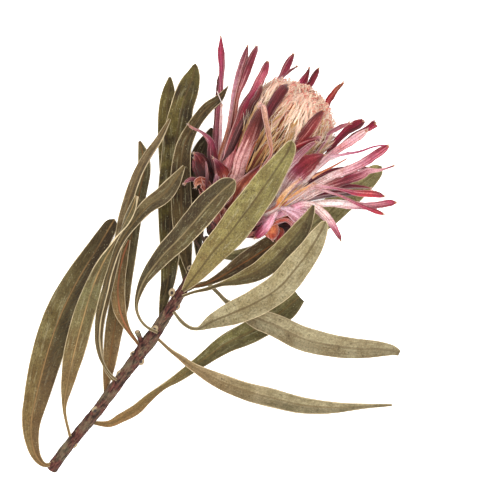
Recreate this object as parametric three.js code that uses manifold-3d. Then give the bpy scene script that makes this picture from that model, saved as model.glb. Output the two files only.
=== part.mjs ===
// A cut protea flower lying on a flat surface: one open head on a woody, leafy stem.
// Millimetres, +Z up, +X from the cut end to the flower, origin on the surface under the middle.
import * as THREE from 'three';
import { mergeVertices } from 'three/addons/utils/BufferGeometryUtils.js';
import Module from 'manifold-3d';

const wasm = await Module();
wasm.setup();

// ---------------------------------------------------------------- driving dimensions
const SEEN_STEP = 0.6; // real size of one step of the picture's grid, at SEEN_HEIGHT
const SEEN_HEIGHT = 40; // height over the surface at which that size holds
const EYE_HEIGHT = 1240; // height of the eye over the surface
const SEEN_MIDDLE = 240; // grid place under the eye, both ways
const STEM_BEARING = THREE.MathUtils.degToRad(52); // the stem's direction in the picture
const EYE_PLACE = new THREE.Vector3(39.17, 20.79, 0); // the eye's foot point in the part's frame

const GAP = 0.3; // clear space between neighbouring pieces
const BLADE_EDGE = 0.7; // thickness of a leaf at its margin
const BLADE_RIB = 1.3; // thickness of a leaf at its midrib
const PETIOLE = 1.7; // thickness of a leaf's stalk
const BRACT_EDGE = 0.7; // thickness of a bract at its margin
const BRACT_RIB = 0.9; // thickness of a bract at its middle

const HEAD_BEARING = THREE.MathUtils.degToRad(50) - STEM_BEARING;
const HEAD_TILT = THREE.MathUtils.degToRad(13); // the flower's axis rises towards the eye
const HEAD_FLOOR = 0.4; // bracts that would pass through the surface are bent along it

// ---------------------------------------------------------------- places
// A place seen at (across, down) on the picture's grid, at a height over the surface.
function seen(across, down, height) {
  const step = (SEEN_STEP * (EYE_HEIGHT - height)) / (EYE_HEIGHT - SEEN_HEIGHT);
  const x = (across - SEEN_MIDDLE) * step;
  const y = (SEEN_MIDDLE - down) * step;
  return new THREE.Vector3(x, y, height)
    .applyAxisAngle(new THREE.Vector3(0, 0, 1), -STEM_BEARING)
    .add(EYE_PLACE);
}

const HEAD_BASE = seen(213, 232, 50);
const HEAD_AXIS = new THREE.Vector3(
  Math.cos(HEAD_TILT) * Math.cos(HEAD_BEARING),
  Math.cos(HEAD_TILT) * Math.sin(HEAD_BEARING),
  Math.sin(HEAD_TILT),
);
const HEAD_RIGHT = new THREE.Vector3(Math.sin(HEAD_BEARING), -Math.cos(HEAD_BEARING), 0);
const HEAD_FRONT = HEAD_RIGHT.clone().cross(HEAD_AXIS);

// A place by its distance along the flower's axis, its radius and its angle round the axis.
function onHead(along, radius, angle) {
  return HEAD_BASE.clone()
    .addScaledVector(HEAD_AXIS, along)
    .addScaledVector(HEAD_RIGHT, radius * Math.cos(angle))
    .addScaledVector(HEAD_FRONT, radius * Math.sin(angle));
}

// ---------------------------------------------------------------- solids
function makeRandom(seed) {
  let state = seed;
  return () => {
    state = (state * 1664525 + 1013904223) % 4294967296;
    return state / 4294967296;
  };
}

// A closed skin over rings of equally many points. The far half of each ring is split the other
// way, so that a thin blade's two faces are split alike.
function skin(rings) {
  const size = rings[0].length;
  const half = size / 2;
  const positions = rings.flat().flatMap((p) => [p.x, p.y, p.z]);
  const faces = [];
  for (let i = 0; i + 1 < rings.length; i += 1) {
    for (let k = 0; k < size; k += 1) {
      const a = i * size + k;
      const b = i * size + ((k + 1) % size);
      const c = b + size;
      const d = a + size;
      if (k < half) faces.push(a, d, b, b, d, c);
      else faces.push(a, d, c, a, c, b);
    }
  }
  const last = (rings.length - 1) * size;
  for (let k = 0; k < half - 1; k += 1) {
    const far = size - 1 - k;
    faces.push(k, k + 1, far, k + 1, far - 1, far);
    faces.push(last + k, last + far, last + k + 1, last + k + 1, last + far, last + far - 1);
  }
  const geometry = new THREE.BufferGeometry();
  geometry.setAttribute('position', new THREE.Float32BufferAttribute(positions, 3));
  geometry.setIndex(faces);
  return geometry;
}

function solidOf(geometry) {
  const bare = geometry.clone();
  bare.deleteAttribute('normal');
  bare.deleteAttribute('uv');
  const merged = mergeVertices(bare, 1e-4);
  return new wasm.Manifold(
    new wasm.Mesh({
      numProp: 3,
      vertProperties: merged.attributes.position.array,
      triVerts: new Uint32Array(merged.index.array),
    }),
  );
}

const join = (solids) => solids.reduce((sum, solid) => sum.add(solid));

// The largest body of a solid that a cut may have left in several.
function largest(solid) {
  return solid.decompose().reduce((best, body) => (body.volume() > best.volume() ? body : best));
}

function geometryOf(solid) {
  const { numProp, vertProperties, triVerts } = solid.getMesh();
  const geometry = new THREE.BufferGeometry();
  const positions = [];
  for (let i = 0; i < vertProperties.length; i += numProp) {
    positions.push(vertProperties[i], vertProperties[i + 1], vertProperties[i + 2]);
  }
  geometry.setAttribute('position', new THREE.Float32BufferAttribute(positions, 3));
  geometry.setIndex(Array.from(triVerts));
  geometry.computeVertexNormals();
  return geometry;
}

// Everything under the surface, which is cut away so that the flower lies on small flat spots.
const GROUND_SPAN = 600;
const GROUND_DEPTH = 100;
const underground = solidOf(
  new THREE.BoxGeometry(GROUND_SPAN, GROUND_SPAN, GROUND_DEPTH).translate(0, 0, -GROUND_DEPTH / 2),
);

// A ring of a blade: its two margins and its midrib, each with an upper and a lower point.
function bladeRing(place, across, up, width, fold, edge, rib) {
  const at = (side, height) =>
    place.clone().addScaledVector(across, side).addScaledVector(up, height);
  return [
    at(width / 2, fold + edge / 2),
    at(0, rib / 2),
    at(-width / 2, fold + edge / 2),
    at(-width / 2, fold - edge / 2),
    at(0, -rib / 2),
    at(width / 2, fold - edge / 2),
  ];
}

// A tube of many sides whose radius changes along it.
function tube(path, radiusAt, steps, sides) {
  const rings = [];
  for (let i = 0; i <= steps; i += 1) {
    const share = i / steps;
    const place = path.getPoint(share);
    const ahead = path.getTangent(share);
    const across = new THREE.Vector3(0, 0, 1).cross(ahead).normalize();
    const up = ahead.clone().cross(across);
    const ring = [];
    for (let k = 0; k < sides; k += 1) {
      const angle = (2 * Math.PI * k) / sides;
      const radius = radiusAt(share);
      ring.push(
        place
          .clone()
          .addScaledVector(across, -radius * Math.cos(angle))
          .addScaledVector(up, radius * Math.sin(angle)),
      );
    }
    rings.push(ring);
  }
  return skin(rings);
}

// ---------------------------------------------------------------- stem
// Seen places of the stem's axis from its cut end to the flower: across, down, height, radius.
const STEM_ROUTE = [
  [51, 470, 2.9, 3.7],
  [66, 449, 7, 3.6],
  [97, 411, 14, 3.6],
  [120, 380, 20, 3.7],
  [141, 352, 25.5, 4.1],
  [150, 340, 28, 4.5],
  [160, 325, 31, 3.8],
  [185, 286, 39, 3.1],
  [200, 259, 44.5, 2.6],
  [208.6, 237.2, 48.9, 2.5],
];
const STEM_STEPS = 24;
const STEM_SIDES = 10;

// Places or values given at each row of a route, as a curve over the rows.
const curveOver = (rows, read) => new THREE.CatmullRomCurve3(rows.map(read));
const placeOf = ([across, down, height]) => seen(across, down, height);

const stemPath = curveOver(STEM_ROUTE, placeOf);
const stemRadii = curveOver(STEM_ROUTE, ([, , , radius]) => new THREE.Vector3(radius, 0, 0));

// Short cut side shoot near the middle of the stem.
const STUB_ROUTE = [
  [143, 346, 26],
  [140, 338, 30],
  [137, 331, 33],
];
const STUB_RADII = [1.7, 2.1]; // at its foot, at its cut end
const STUB_STEPS = 4;
const STUB_SIDES = 8;
const stubPath = curveOver(STUB_ROUTE, placeOf);

// Buds that stand on the stem over the scars of fallen leaves: across, down, height, radius.
const BUDS = [
  [94.5, 410, 17, 1.7],
  [118, 373, 23, 1.6],
  [143, 361, 26.5, 1.6],
  [168, 291, 38.5, 1.7],
  [179, 308, 35, 1.7],
  [155, 327, 34, 1.7],
  [190, 267, 44, 1.5],
];
const BUD_SIDES = 7;
const BUD_BANDS = 5;

// Dry leaf stubs under the flower: base and tip, each across, down, height.
const REMNANTS = [
  [[203, 252, 47], [194, 238, 51]],
  [[206, 246, 49], [199, 230, 54]],
  [[204, 249, 46], [214, 243, 45]],
];
const REMNANT_RADII = [0.75, 0.5]; // at the base, at the tip
const REMNANT_SIDES = 4;

// The stem with all that grew on it, every surface moved out by the extra radius.
function stemSolid(extra) {
  const shaft = tube(
    stemPath,
    (share) => stemRadii.getPoint(share).x + extra,
    STEM_STEPS,
    STEM_SIDES,
  );
  const stub = tube(
    stubPath,
    (share) => THREE.MathUtils.lerp(...STUB_RADII, share ** 3) + extra,
    STUB_STEPS,
    STUB_SIDES,
  );
  const buds = BUDS.map((row) => {
    const { x, y, z } = placeOf(row);
    return new THREE.SphereGeometry(row[3] + extra, BUD_SIDES, BUD_BANDS).translate(x, y, z);
  });
  const remnants = REMNANTS.map(([base, tip]) =>
    tube(
      new THREE.LineCurve3(seen(...base), seen(...tip)),
      (share) => THREE.MathUtils.lerp(...REMNANT_RADII, share) + extra,
      1,
      REMNANT_SIDES,
    ),
  );
  return join([shaft, stub, ...buds, ...remnants].map(solidOf));
}

const stem = largest(stemSolid(0).subtract(underground));
const stemClearance = stemSolid(GAP);

// ---------------------------------------------------------------- leaves
// Each leaf by the seen places of its midrib from its stalk to its tip:
// across, down, height, seen width, roll in degrees.
const LEAVES = {
  leaf_01: [
    [58, 460, 5, 3, 0],
    [45, 465, 6, 5, 0],
    [35, 452, 6, 10, 5],
    [32, 425, 6, 17, 10],
    [38, 395, 6.5, 23, 12],
    [48, 358, 7.5, 28, 12],
    [62, 320, 8, 27, 8],
    [78, 283, 7, 26, 4],
    [95, 252, 5, 22, 0],
    [107, 232, 3.5, 16, 0],
    [114, 220, 2.5, 4, 0],
  ],
  leaf_02: [
    [70, 436, 11, 3, 0],
    [64.5, 410, 15, 4, 0],
    [67, 386, 19, 12, 0],
    [75, 350, 27, 22, 0],
    [84, 316, 36, 22, 0],
    [93, 286, 45, 18, 10],
    [103, 262, 52, 14, 30],
    [114.5, 241, 57, 7, 70],
    [125, 222, 60, 11, 130],
    [132, 208, 61, 9, 150],
    [137, 196, 62, 2.5, 150],
  ],
  leaf_03: [
    [117, 380, 22, 3, 0],
    [103, 358, 28, 4, 0],
    [97, 334, 34, 6, -30],
    [99, 311, 39, 9, -35],
    [104, 290, 43, 11, -35],
    [111, 271, 46, 11, -30],
    [119, 251, 48, 11, -25],
    [129, 233, 50, 13, -15],
    [143, 215, 52, 19, 0],
    [158, 200, 54, 22, 8],
    [172, 184, 56, 18, 10],
    [184, 166, 58, 3, 10],
  ],
  leaf_04: [
    [105, 393, 16, 3, 0],
    [109, 366, 13, 13, 0],
    [113.5, 333, 11, 18, 5],
    [119, 304, 11, 20, 8],
    [123, 280, 12, 19, 8],
    [127, 258, 13, 18, 8],
    [131, 237, 14, 16, 8],
    [135, 214, 16, 15, 8],
    [140, 190, 18, 15, 8],
    [144, 170, 19, 14, 0],
    [143, 154, 20, 11, 0],
    [139.5, 141, 20, 3, 0],
  ],
  leaf_05: [
    [140, 346, 25, 3, 0],
    [129, 331, 25, 5, 0],
    [121, 314, 25, 12, 0],
    [118, 295, 25, 15, 0],
    [119, 276, 25, 14, 0],
    [123, 257, 26, 11, 0],
    [129, 240, 27, 3, 0],
  ],
  leaf_06: [
    [112, 386, 20, 3, 0],
    [98, 357, 24, 3, 0],
    [93, 333, 28, 4, 0],
    [96, 308, 31, 6, 0],
    [102, 285, 33, 8, 0],
    [109, 262, 35, 9, 0],
    [116, 240, 36, 10, 0],
    [123, 219, 37, 12, -10],
    [130, 197, 38, 11, -20],
    [138, 175, 39, 11, -25],
    [148, 156, 40, 10, -25],
    [158, 141, 41, 8, -20],
    [170, 119, 42, 2.5, 0],
  ],
  leaf_08: [
    [160, 322, 29, 3, 0],
    [164, 300, 27, 10, 0],
    [168, 280, 26, 15, 0],
    [170, 253, 26, 20, 0],
    [170, 223, 27, 24, 0],
    [171, 190, 28, 26, 0],
    [174, 160, 29, 27, 0],
    [178, 132, 30, 28, 0],
    [184, 108, 31, 27, 0],
    [190, 88, 32, 20, 0],
    [196, 66, 33, 3, 0],
  ],
  leaf_09: [
    [185, 284, 36, 3, 0],
    [183, 268, 24, 7, 0],
    [178, 241, 18, 12, 0],
    [173, 210, 16, 15, 0],
    [169, 180, 16, 17, 0],
    [167, 150, 15, 18, 0],
    [166.5, 125, 15, 18, 0],
    [167.5, 104, 15, 17, 0],
    [169, 89, 15, 12, 0],
    [170, 77, 15, 3, 0],
  ],
  leaf_10: [
    [190, 276, 40, 3, 0],
    [187, 262, 39, 10, 0],
    [184, 240, 38, 18, 0],
    [182, 215, 38, 21, 0],
    [181, 190, 38.5, 21, 0],
    [181, 168, 40, 20, 0],
    [184, 146, 43, 17, 5],
    [192, 127, 46, 16, 8],
    [203, 113, 49, 16, 8],
    [214, 103, 51, 14, 0],
    [222, 95, 53, 8, 0],
    [227, 86, 54, 2.5, 0],
  ],
  leaf_11: [
    [198, 262, 43, 3, 0],
    [198, 242, 36, 9, 0],
    [197, 220, 28, 17, 0],
    [196, 200, 24, 21, 0],
    [197, 180, 22, 24, 0],
    [200, 161, 21, 22, 0],
    [205, 145, 21, 17, 0],
    [212, 128, 21, 3, 0],
  ],
  leaf_12: [
    [157, 332, 34, 3, 0],
    [147, 327, 39, 3, 0],
    [140, 319, 43, 3, 0],
    [136.5, 308, 47, 3.5, 0],
    [138, 296, 51, 6, 0],
    [143, 281, 55, 11, 0],
    [151.5, 266, 60, 17, 0],
    [163, 250, 66, 22, 0],
    [177, 236, 72, 25, 0],
    [193, 219, 78, 27, 0],
    [208, 204, 84, 27, 0],
    [221, 192, 88, 23, 0],
    [230, 184, 91, 15, 0],
    [235, 180, 92, 3, 0],
  ],
  leaf_13: [
    [183, 291, 40, 3, 0],
    [191, 281, 50, 12, 0],
    [201, 268, 58, 20, 0],
    [213, 252, 67, 27, 0],
    [226, 236, 76, 29, 0],
    [240, 217.5, 85, 30, 0],
    [254, 199, 94, 30, 0],
    [268, 180, 103, 29, 0],
    [279, 163, 111, 24, 0],
    [287, 150, 117, 16, 0],
    [291, 141, 120, 3, 0],
  ],
  leaf_14: [
    [186, 288, 38, 3, 0],
    [205, 284, 40, 5, 0],
    [222, 276, 42, 10, 0],
    [240, 265, 43, 18, 0],
    [258, 254, 44, 22, 0],
    [275, 243, 44, 20, 0],
    [290, 234, 42, 12, 0],
    [297, 228, 41, 3, 0],
  ],
  leaf_15: [
    [183, 296, 40, 3, 0],
    [194, 292, 43.5, 3, 0],
    [207, 289, 46, 4, 0],
    [222, 284, 50, 5, 0],
    [238, 279.5, 55, 12, 0],
    [256, 272, 61, 19, 8],
    [272, 260.5, 67, 22, 10],
    [288, 244.5, 74, 22, 10],
    [302, 227.5, 81, 18, 5],
    [310, 214, 86, 10, 0],
    [313.4, 205.5, 88, 3, 0],
  ],
  leaf_16: [
    [174, 312, 36, 3, 0],
    [182, 322, 39, 4, 0],
    [191, 328, 42, 4, 0],
    [200, 328, 45, 5, 0],
    [213, 321, 53, 15, 0],
    [233, 313, 62, 24, 0],
    [256, 301, 70, 28, 0],
    [277, 286, 78, 29, 0],
    [293, 268, 84, 28, 0],
    [306, 250, 89, 24, 0],
    [316, 234, 93, 16, 0],
    [324, 220, 95, 3, 0],
  ],
  leaf_17: [
    [188, 290, 36, 3, 0],
    [205, 283, 37, 4, 0],
    [216, 291, 38, 4, 0],
    [226, 301, 39, 5, 0],
    [240, 310, 39, 12, 0],
    [256, 318, 38, 20, 0],
    [275, 325.5, 36, 23, 0],
    [301, 338, 31, 25, 0],
    [327, 344.5, 25, 24, 0],
    [353, 348.2, 18, 21, 0],
    [375, 349, 11, 17, 0],
    [391, 350, 5, 11, 0],
    [399, 353, 2, 6, 0],
  ],
  leaf_18: [
    [90, 422, 11, 3, 0],
    [107, 421, 8, 7, 0],
    [120, 415, 5.5, 10, 0],
    [135, 407, 4, 11, 0],
    [150, 396.5, 5, 9, 15],
    [164, 386, 8, 7, 20],
    [180, 376, 10, 10, 10],
    [200, 362, 12, 13, 0],
    [225, 344, 13, 20, 0],
    [250, 332, 13, 24, 0],
    [272, 319, 12, 24, 0],
    [287, 306, 9, 22, 0],
    [300, 295, 5, 9, 0],
  ],
  leaf_19: [
    [157, 338, 29, 3, 0],
    [170, 350, 28, 4, 0],
    [181, 358, 27, 6, 0],
    [195, 368, 25, 9, 0],
    [218, 380, 20, 16, 0],
    [246, 391, 14, 19, 0],
    [275, 398.5, 9, 19, 0],
    [303, 405, 5, 17, 0],
    [333, 407.5, 3, 12, 0],
    [362, 406.3, 2, 6, 0],
    [392, 405, 1.5, 2.5, 0],
  ],
  leaf_20: [
    [206, 246, 45, 3, 0],
    [224, 255, 36, 8, 0],
    [250, 254, 28, 15, 0],
    [275, 246, 20, 20, 0],
    [300, 234, 13, 24, 0],
    [325, 216, 9, 27, 0],
    [345, 198, 7, 27, 0],
    [362, 183, 6, 23, 0],
    [374, 173, 5, 14, 0],
    [381, 167, 4, 3, 0],
  ],
};
const LEAF_STEPS = 14;
const LEAF_FOLD = 0.14; // how far the margins stand over the midrib, as a share of the width
const LEAF_TIP_WIDTH = 1.2;
const STALK_WIDTHS = [2, 6]; // widths between which the round stalk turns into the flat blade

function leaf(route) {
  const path = curveOver(route, placeOf);
  const sizes = curveOver(route, ([, , height, width, roll]) => {
    const step = (SEEN_STEP * (EYE_HEIGHT - height)) / (EYE_HEIGHT - SEEN_HEIGHT);
    return new THREE.Vector3(width * step, THREE.MathUtils.degToRad(roll), 0);
  });
  const rings = [];
  for (let i = 0; i <= LEAF_STEPS; i += 1) {
    const share = i / LEAF_STEPS;
    const ahead = path.getTangent(share);
    const size = sizes.getPoint(share);
    const across = ahead
      .clone()
      .cross(new THREE.Vector3(0, 0, 1))
      .normalize()
      .applyAxisAngle(ahead, size.y);
    const up = across.clone().cross(ahead);
    const width = Math.max(size.x, LEAF_TIP_WIDTH);
    const blade = THREE.MathUtils.smoothstep(width, ...STALK_WIDTHS);
    const fold = LEAF_FOLD * width * blade;
    const edge = THREE.MathUtils.lerp(PETIOLE, BLADE_EDGE, blade);
    const rib = THREE.MathUtils.lerp(PETIOLE, BLADE_RIB, blade);
    rings.push(bladeRing(path.getPoint(share), across, up, width, fold, edge, rib));
  }
  return largest(solidOf(skin(rings)).subtract(stemClearance).subtract(underground));
}

// ---------------------------------------------------------------- flower head
// Radius of the mass of florets along the flower's axis.
const FLORET_OUTLINE = [
  [24.3, 15],
  [34, 19],
  [48, 24],
  [64, 28.5],
  [80, 31.5],
  [90, 30.5],
  [98, 24],
  [103, 15],
  [106, 5],
];
const floretCurve = new THREE.SplineCurve(
  FLORET_OUTLINE.map(([along, radius]) => new THREE.Vector2(along, radius)),
);

function floretRadius(along) {
  if (along >= FLORET_OUTLINE.at(-1)[0]) return 0;
  const next = Math.max(1, FLORET_OUTLINE.findIndex(([limit]) => limit > along));
  const [w0, r0] = FLORET_OUTLINE[next - 1];
  const [w1, r1] = FLORET_OUTLINE[next];
  return THREE.MathUtils.mapLinear(along, w0, w1, r0, r1);
}

// A body turned round the flower's axis, its profile given as distance along it and radius.
function turned(profile, sides) {
  const geometry = new THREE.LatheGeometry(
    profile.map(([along, radius]) => new THREE.Vector2(radius, along)),
    sides,
  );
  const turn = new THREE.Matrix4().makeBasis(HEAD_RIGHT, HEAD_AXIS, HEAD_FRONT);
  return geometry.applyMatrix4(turn.setPosition(HEAD_BASE));
}

// The cup that the bracts grow from.
const RECEPTACLE = [
  [-3.2, 0],
  [-3.2, 3.4],
  [1, 6],
  [6, 12],
  [12, 17],
  [18, 19],
  [24, 18],
  [24, 0],
];
const RECEPTACLE_SIDES = 16;
const receptacle = solidOf(turned(RECEPTACLE, RECEPTACLE_SIDES));

const BRACT_CLEARANCE = 2.6; // least distance from a bract's midrib to the florets
const BRACT_STEPS = 5;
const BRACT_HUG = 0.35; // how far a bract has left the cup's radius at a third of its length
const BRACT_WIDEST = 0.4; // where a bract is widest, as a share of its length
const BRACT_FOOT = 0.55; // width at its foot, as a share of the full width
const BRACT_END = 0.49; // width just before its point
const BRACT_POINT = 0.22; // width of its blunt point
const BRACT_FOLD = 0.16; // how far its margins stand inside its middle, as a share of the width

// Where each row of bracts grows from the cup, outer row first: along the axis and radius.
const BRACT_ROWS = [
  [9, 12],
  [13, 14.5],
  [18, 16],
];

// The width of a bract at a share of its length, as a share of its full width.
function bractShare(share) {
  if (share === 1) return BRACT_POINT;
  if (share < BRACT_WIDEST) return THREE.MathUtils.mapLinear(share, 0, BRACT_WIDEST, BRACT_FOOT, 1);
  return THREE.MathUtils.mapLinear(share, BRACT_WIDEST, 1, 1, BRACT_END);
}

// One bract: a long blade that leaves the cup at an angle round the axis and flares outwards.
function bract({ angle, along, radius, width, row, drift = 0, curl = 0 }) {
  const base = new THREE.Vector2(...BRACT_ROWS[row]);
  const tip = new THREE.Vector2(along, radius);
  const reach = tip.clone().sub(base);
  const line = new THREE.CubicBezierCurve(
    base,
    new THREE.Vector2(base.x + 0.4 * reach.x, base.y + BRACT_HUG * 0.4 * reach.y),
    new THREE.Vector2(base.x + 0.8 * reach.x, base.y + (BRACT_HUG + 0.25) * reach.y),
    tip,
  );
  const places = [];
  for (let i = 0; i <= BRACT_STEPS; i += 1) {
    const share = i / BRACT_STEPS;
    const { x, y } = line.getPoint(share);
    const clear = Math.max(y, floretRadius(x) + BRACT_CLEARANCE);
    const place = onHead(x, clear, angle + drift * share * share);
    place.z = Math.max(place.z, HEAD_FLOOR);
    places.push(place);
  }
  const path = new THREE.CatmullRomCurve3(places);
  const rings = places.map((place, i) => {
    const share = i / BRACT_STEPS;
    const ahead = path.getTangent(share);
    const turn = angle + drift * share * share;
    const across = HEAD_RIGHT.clone()
      .multiplyScalar(Math.sin(turn))
      .addScaledVector(HEAD_FRONT, -Math.cos(turn))
      .applyAxisAngle(ahead, curl * share * share);
    across.addScaledVector(ahead, -across.dot(ahead)).normalize();
    const up = across.clone().cross(ahead);
    const size = width * bractShare(share);
    return bladeRing(place, across, up, size, -BRACT_FOLD * size, BRACT_EDGE, BRACT_RIB);
  });
  return solidOf(skin(rings));
}

// Bracts that show, by their tips: across, down, height, full width, and how they bend.
const SHOWN_BRACTS = [
  { tip: [221, 37, 74], width: 8, row: 0 },
  { tip: [248, 46, 92], width: 9, row: 1 },
  { tip: [258, 50, 62], width: 8, row: 0 },
  { tip: [268, 62, 100], width: 9, row: 2 },
  { tip: [289, 87, 111], width: 9, row: 2 },
  { tip: [294, 54, 72], width: 8, row: 2 },
  { tip: [309, 67, 58], width: 8, row: 2 },
  { tip: [318, 69, 50], width: 8, row: 2 },
  { tip: [344, 84, 52], width: 8, row: 2 },
  { tip: [324, 111, 113], width: 9, row: 2 },
  { tip: [319, 138, 108], width: 9, row: 2 },
  { tip: [324, 155, 106], width: 13, row: 1 },
  { tip: [364, 120, 84], width: 9, row: 2 },
  { tip: [375, 123, 66], width: 9, row: 1 },
  { tip: [367, 129, 98], width: 9, row: 2 },
  { tip: [388, 144, 84], width: 9, row: 1 },
  { tip: [380, 168, 92], width: 10, row: 0 },
  { tip: [393, 165, 60], width: 7, row: 0 },
  { tip: [384, 195, 88], width: 9, row: 0, drift: -0.25 },
  { tip: [395, 203, 70], width: 9, row: 0, drift: -0.3 },
  { tip: [383, 214, 56], width: 7, row: 0 },
  { tip: [340, 239, 68], width: 8, row: 0 },
  { tip: [262, 103, 105], width: 7, row: 2 },
];

function shownBract({ tip, ...rest }) {
  const place = seen(...tip).sub(HEAD_BASE);
  const right = place.dot(HEAD_RIGHT);
  const front = place.dot(HEAD_FRONT);
  const drift = rest.drift ?? 0;
  return bract({
    ...rest,
    angle: Math.atan2(front, right) - drift,
    along: place.dot(HEAD_AXIS),
    radius: Math.hypot(right, front),
  });
}

// Bracts on the far side, row by row: how many, between which angles in degrees, how far along
// the axis, how wide they flare at the sides, and how much wider underneath. The outer row
// reaches the surface and lies along it.
const HIDDEN_ROWS = [
  { count: 7, from: 192, to: 348, along: 88, radius: 59, wider: 28 },
  { count: 6, from: 200, to: 340, along: 98, radius: 50, wider: 6 },
  { count: 5, from: 208, to: 332, along: 108, radius: 37, wider: 0 },
];
const TURN_SPREAD = 4; // degrees, and millimetres for the next two, that these bracts vary by
const ALONG_SPREAD = 7;
const RADIUS_SPREAD = 4;
const CURL_SPREAD = 0.6;
const HIDDEN_WIDTHS = [9, 11];

const random = makeRandom(7);
const vary = (spread) => spread * (random() - 0.5);
const hiddenBracts = HIDDEN_ROWS.flatMap(({ count, from, to, along, radius, wider }, row) =>
  Array.from({ length: count }, (_, i) => {
    const turn = THREE.MathUtils.lerp(from, to, i / (count - 1)) + vary(TURN_SPREAD);
    const angle = THREE.MathUtils.degToRad(turn);
    return bract({
      row,
      angle,
      along: along + vary(ALONG_SPREAD),
      radius: radius + wider * Math.sin(angle) ** 2 + vary(RADIUS_SPREAD),
      width: THREE.MathUtils.lerp(...HIDDEN_WIDTHS, random()),
      curl: vary(CURL_SPREAD),
    });
  }),
);

// Short scales round the foot of the head, bent outwards at their tips. Each row gives the
// distance along the axis and the radius at foot, middle and tip.
const SCALES = 16;
const SCALE_ROWS = [
  [[3, 8], [10, 16], [14, 23]],
  [[7, 13], [17, 21], [22, 27]],
  [[10, 15], [22, 23], [30, 31]],
];
const SCALE_WIDTHS = [7, 8.5, 7, 3]; // from foot to tip
const SCALE_FOLD = 0.15;
const SCALE_SPREAD = 3; // how much further some tips stand out
const SCALE_TURN = 0.1;

const scales = Array.from({ length: SCALES }, (_, i) => {
  const angle = (i / SCALES) * 2 * Math.PI + vary(SCALE_TURN);
  const [foot, middle, tip] = SCALE_ROWS[i % SCALE_ROWS.length].map(
    (place) => new THREE.Vector2(...place),
  );
  tip.y += SCALE_SPREAD * random();
  const line = new THREE.QuadraticBezierCurve(foot, middle, tip);
  const steps = SCALE_WIDTHS.length - 1;
  const places = SCALE_WIDTHS.map((_width, k) => {
    const { x, y } = line.getPoint(k / steps);
    return onHead(x, y, angle);
  });
  const path = new THREE.CatmullRomCurve3(places);
  const across = HEAD_RIGHT.clone()
    .multiplyScalar(Math.sin(angle))
    .addScaledVector(HEAD_FRONT, -Math.cos(angle));
  const rings = places.map((place, k) => {
    const width = SCALE_WIDTHS[k];
    const up = across.clone().cross(path.getTangent(k / steps));
    return bladeRing(place, across, up, width, -SCALE_FOLD * width, BRACT_EDGE, BRACT_RIB);
  });
  return solidOf(skin(rings));
});

// The body under the florets, which their roots sink into.
const CORE_DEPTH = 3; // how far it stays inside the florets' outline
const CORE_SIDES = 16;
const CORE_TOP = 103.5;
const headCore = solidOf(
  turned(
    [
      [FLORET_OUTLINE[0][0], 0],
      ...FLORET_OUTLINE.slice(0, -1).map(([along, radius]) => [along, radius - CORE_DEPTH]),
      [CORE_TOP, 0],
    ],
    CORE_SIDES,
  ),
);

// Florets: pointed tufts that lie along the head and close over its top.
const FLORETS = 126;
const FLORET_SHARES = [0.1, 0.98]; // the first and last along the outline
const FLORET_BACK = 0.12; // how far a tuft's root lies behind it along the outline
const FLORET_AHEAD = 0.03; // how far its tip lies ahead
const FLORET_SUNK = 4.5; // depth of its root
const FLORET_HALF_WIDTH = 2.4;
const FLORET_HEIGHT = 3.2;
const FLORET_TWIST = 0.08;
const TIP_LIFT = 1; // how far a tip stands forward of the outline
const TIP_INSET = 0.8; // and how far inside it
const GOLDEN_ANGLE = Math.PI * (3 - Math.sqrt(5));

function floret(i) {
  const share = THREE.MathUtils.lerp(...FLORET_SHARES, Math.sqrt((i + 0.5) / FLORETS));
  const angle = i * GOLDEN_ANGLE;
  const foot = floretCurve.getPoint(Math.max(0, share - FLORET_BACK));
  const head = floretCurve.getPoint(Math.min(1, share + FLORET_AHEAD));
  const root = onHead(foot.x, Math.max(foot.y - FLORET_SUNK, GAP), angle);
  const tip = onHead(head.x + TIP_LIFT, Math.max(head.y - TIP_INSET, 0), angle + FLORET_TWIST);
  const ahead = tip.clone().sub(root).normalize();
  const outwards = onHead(0, 1, angle).sub(HEAD_BASE);
  const across = outwards.cross(ahead).normalize();
  const up = ahead.clone().cross(across);
  const corners = [
    root.clone().addScaledVector(across, -FLORET_HALF_WIDTH),
    root.clone().addScaledVector(up, FLORET_HEIGHT),
    root.clone().addScaledVector(across, FLORET_HALF_WIDTH),
    tip,
  ];
  const geometry = new THREE.BufferGeometry().setFromPoints(corners);
  geometry.setIndex([0, 1, 2, 0, 3, 1, 1, 3, 2, 2, 3, 0]);
  return solidOf(geometry);
}
const florets = Array.from({ length: FLORETS }, (_, i) => floret(i));

// The room that the florets take, with a clear space round it.
const ROOM_START = 24.1; // just inside the top of the cup
const ROOM_END = 108;
const ROOM_SIDES = 24;
const floretRoom = solidOf(
  turned(
    [
      [ROOM_START, 0],
      [ROOM_START, FLORET_OUTLINE[0][1]],
      ...FLORET_OUTLINE.map(([along, radius]) => [along, radius + 3 * GAP]),
      [ROOM_END, 0],
    ],
    ROOM_SIDES,
  ),
);

const bracts = largest(
  join([receptacle, ...scales, ...SHOWN_BRACTS.map(shownBract), ...hiddenBracts])
    .subtract(floretRoom)
    .subtract(underground),
);

// ---------------------------------------------------------------- assembly
const BARK = new THREE.MeshStandardMaterial({ color: 0x5d3f3a, roughness: 0.85 });
const LEAF = new THREE.MeshStandardMaterial({ color: 0x7d7750, roughness: 0.7 });
const BRACT = new THREE.MeshStandardMaterial({ color: 0xb24a62, roughness: 0.65 });
const FLORET = new THREE.MeshStandardMaterial({ color: 0xe8c6ae, roughness: 0.9 });

const flower = new THREE.Group();
function place(name, solid, material) {
  const mesh = new THREE.Mesh(geometryOf(solid), material.clone());
  mesh.name = name;
  flower.add(mesh);
}

place('stem', stem, BARK);
for (const [name, route] of Object.entries(LEAVES)) place(name, leaf(route), LEAF);
place('bracts', bracts, BRACT);
place('florets', largest(join([headCore, ...florets])), FLORET);

export default flower;
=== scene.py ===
"""A cut and dried protea flower that lies on a pale floor: one open head on a leafy woody stem."""
import math
import random

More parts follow.
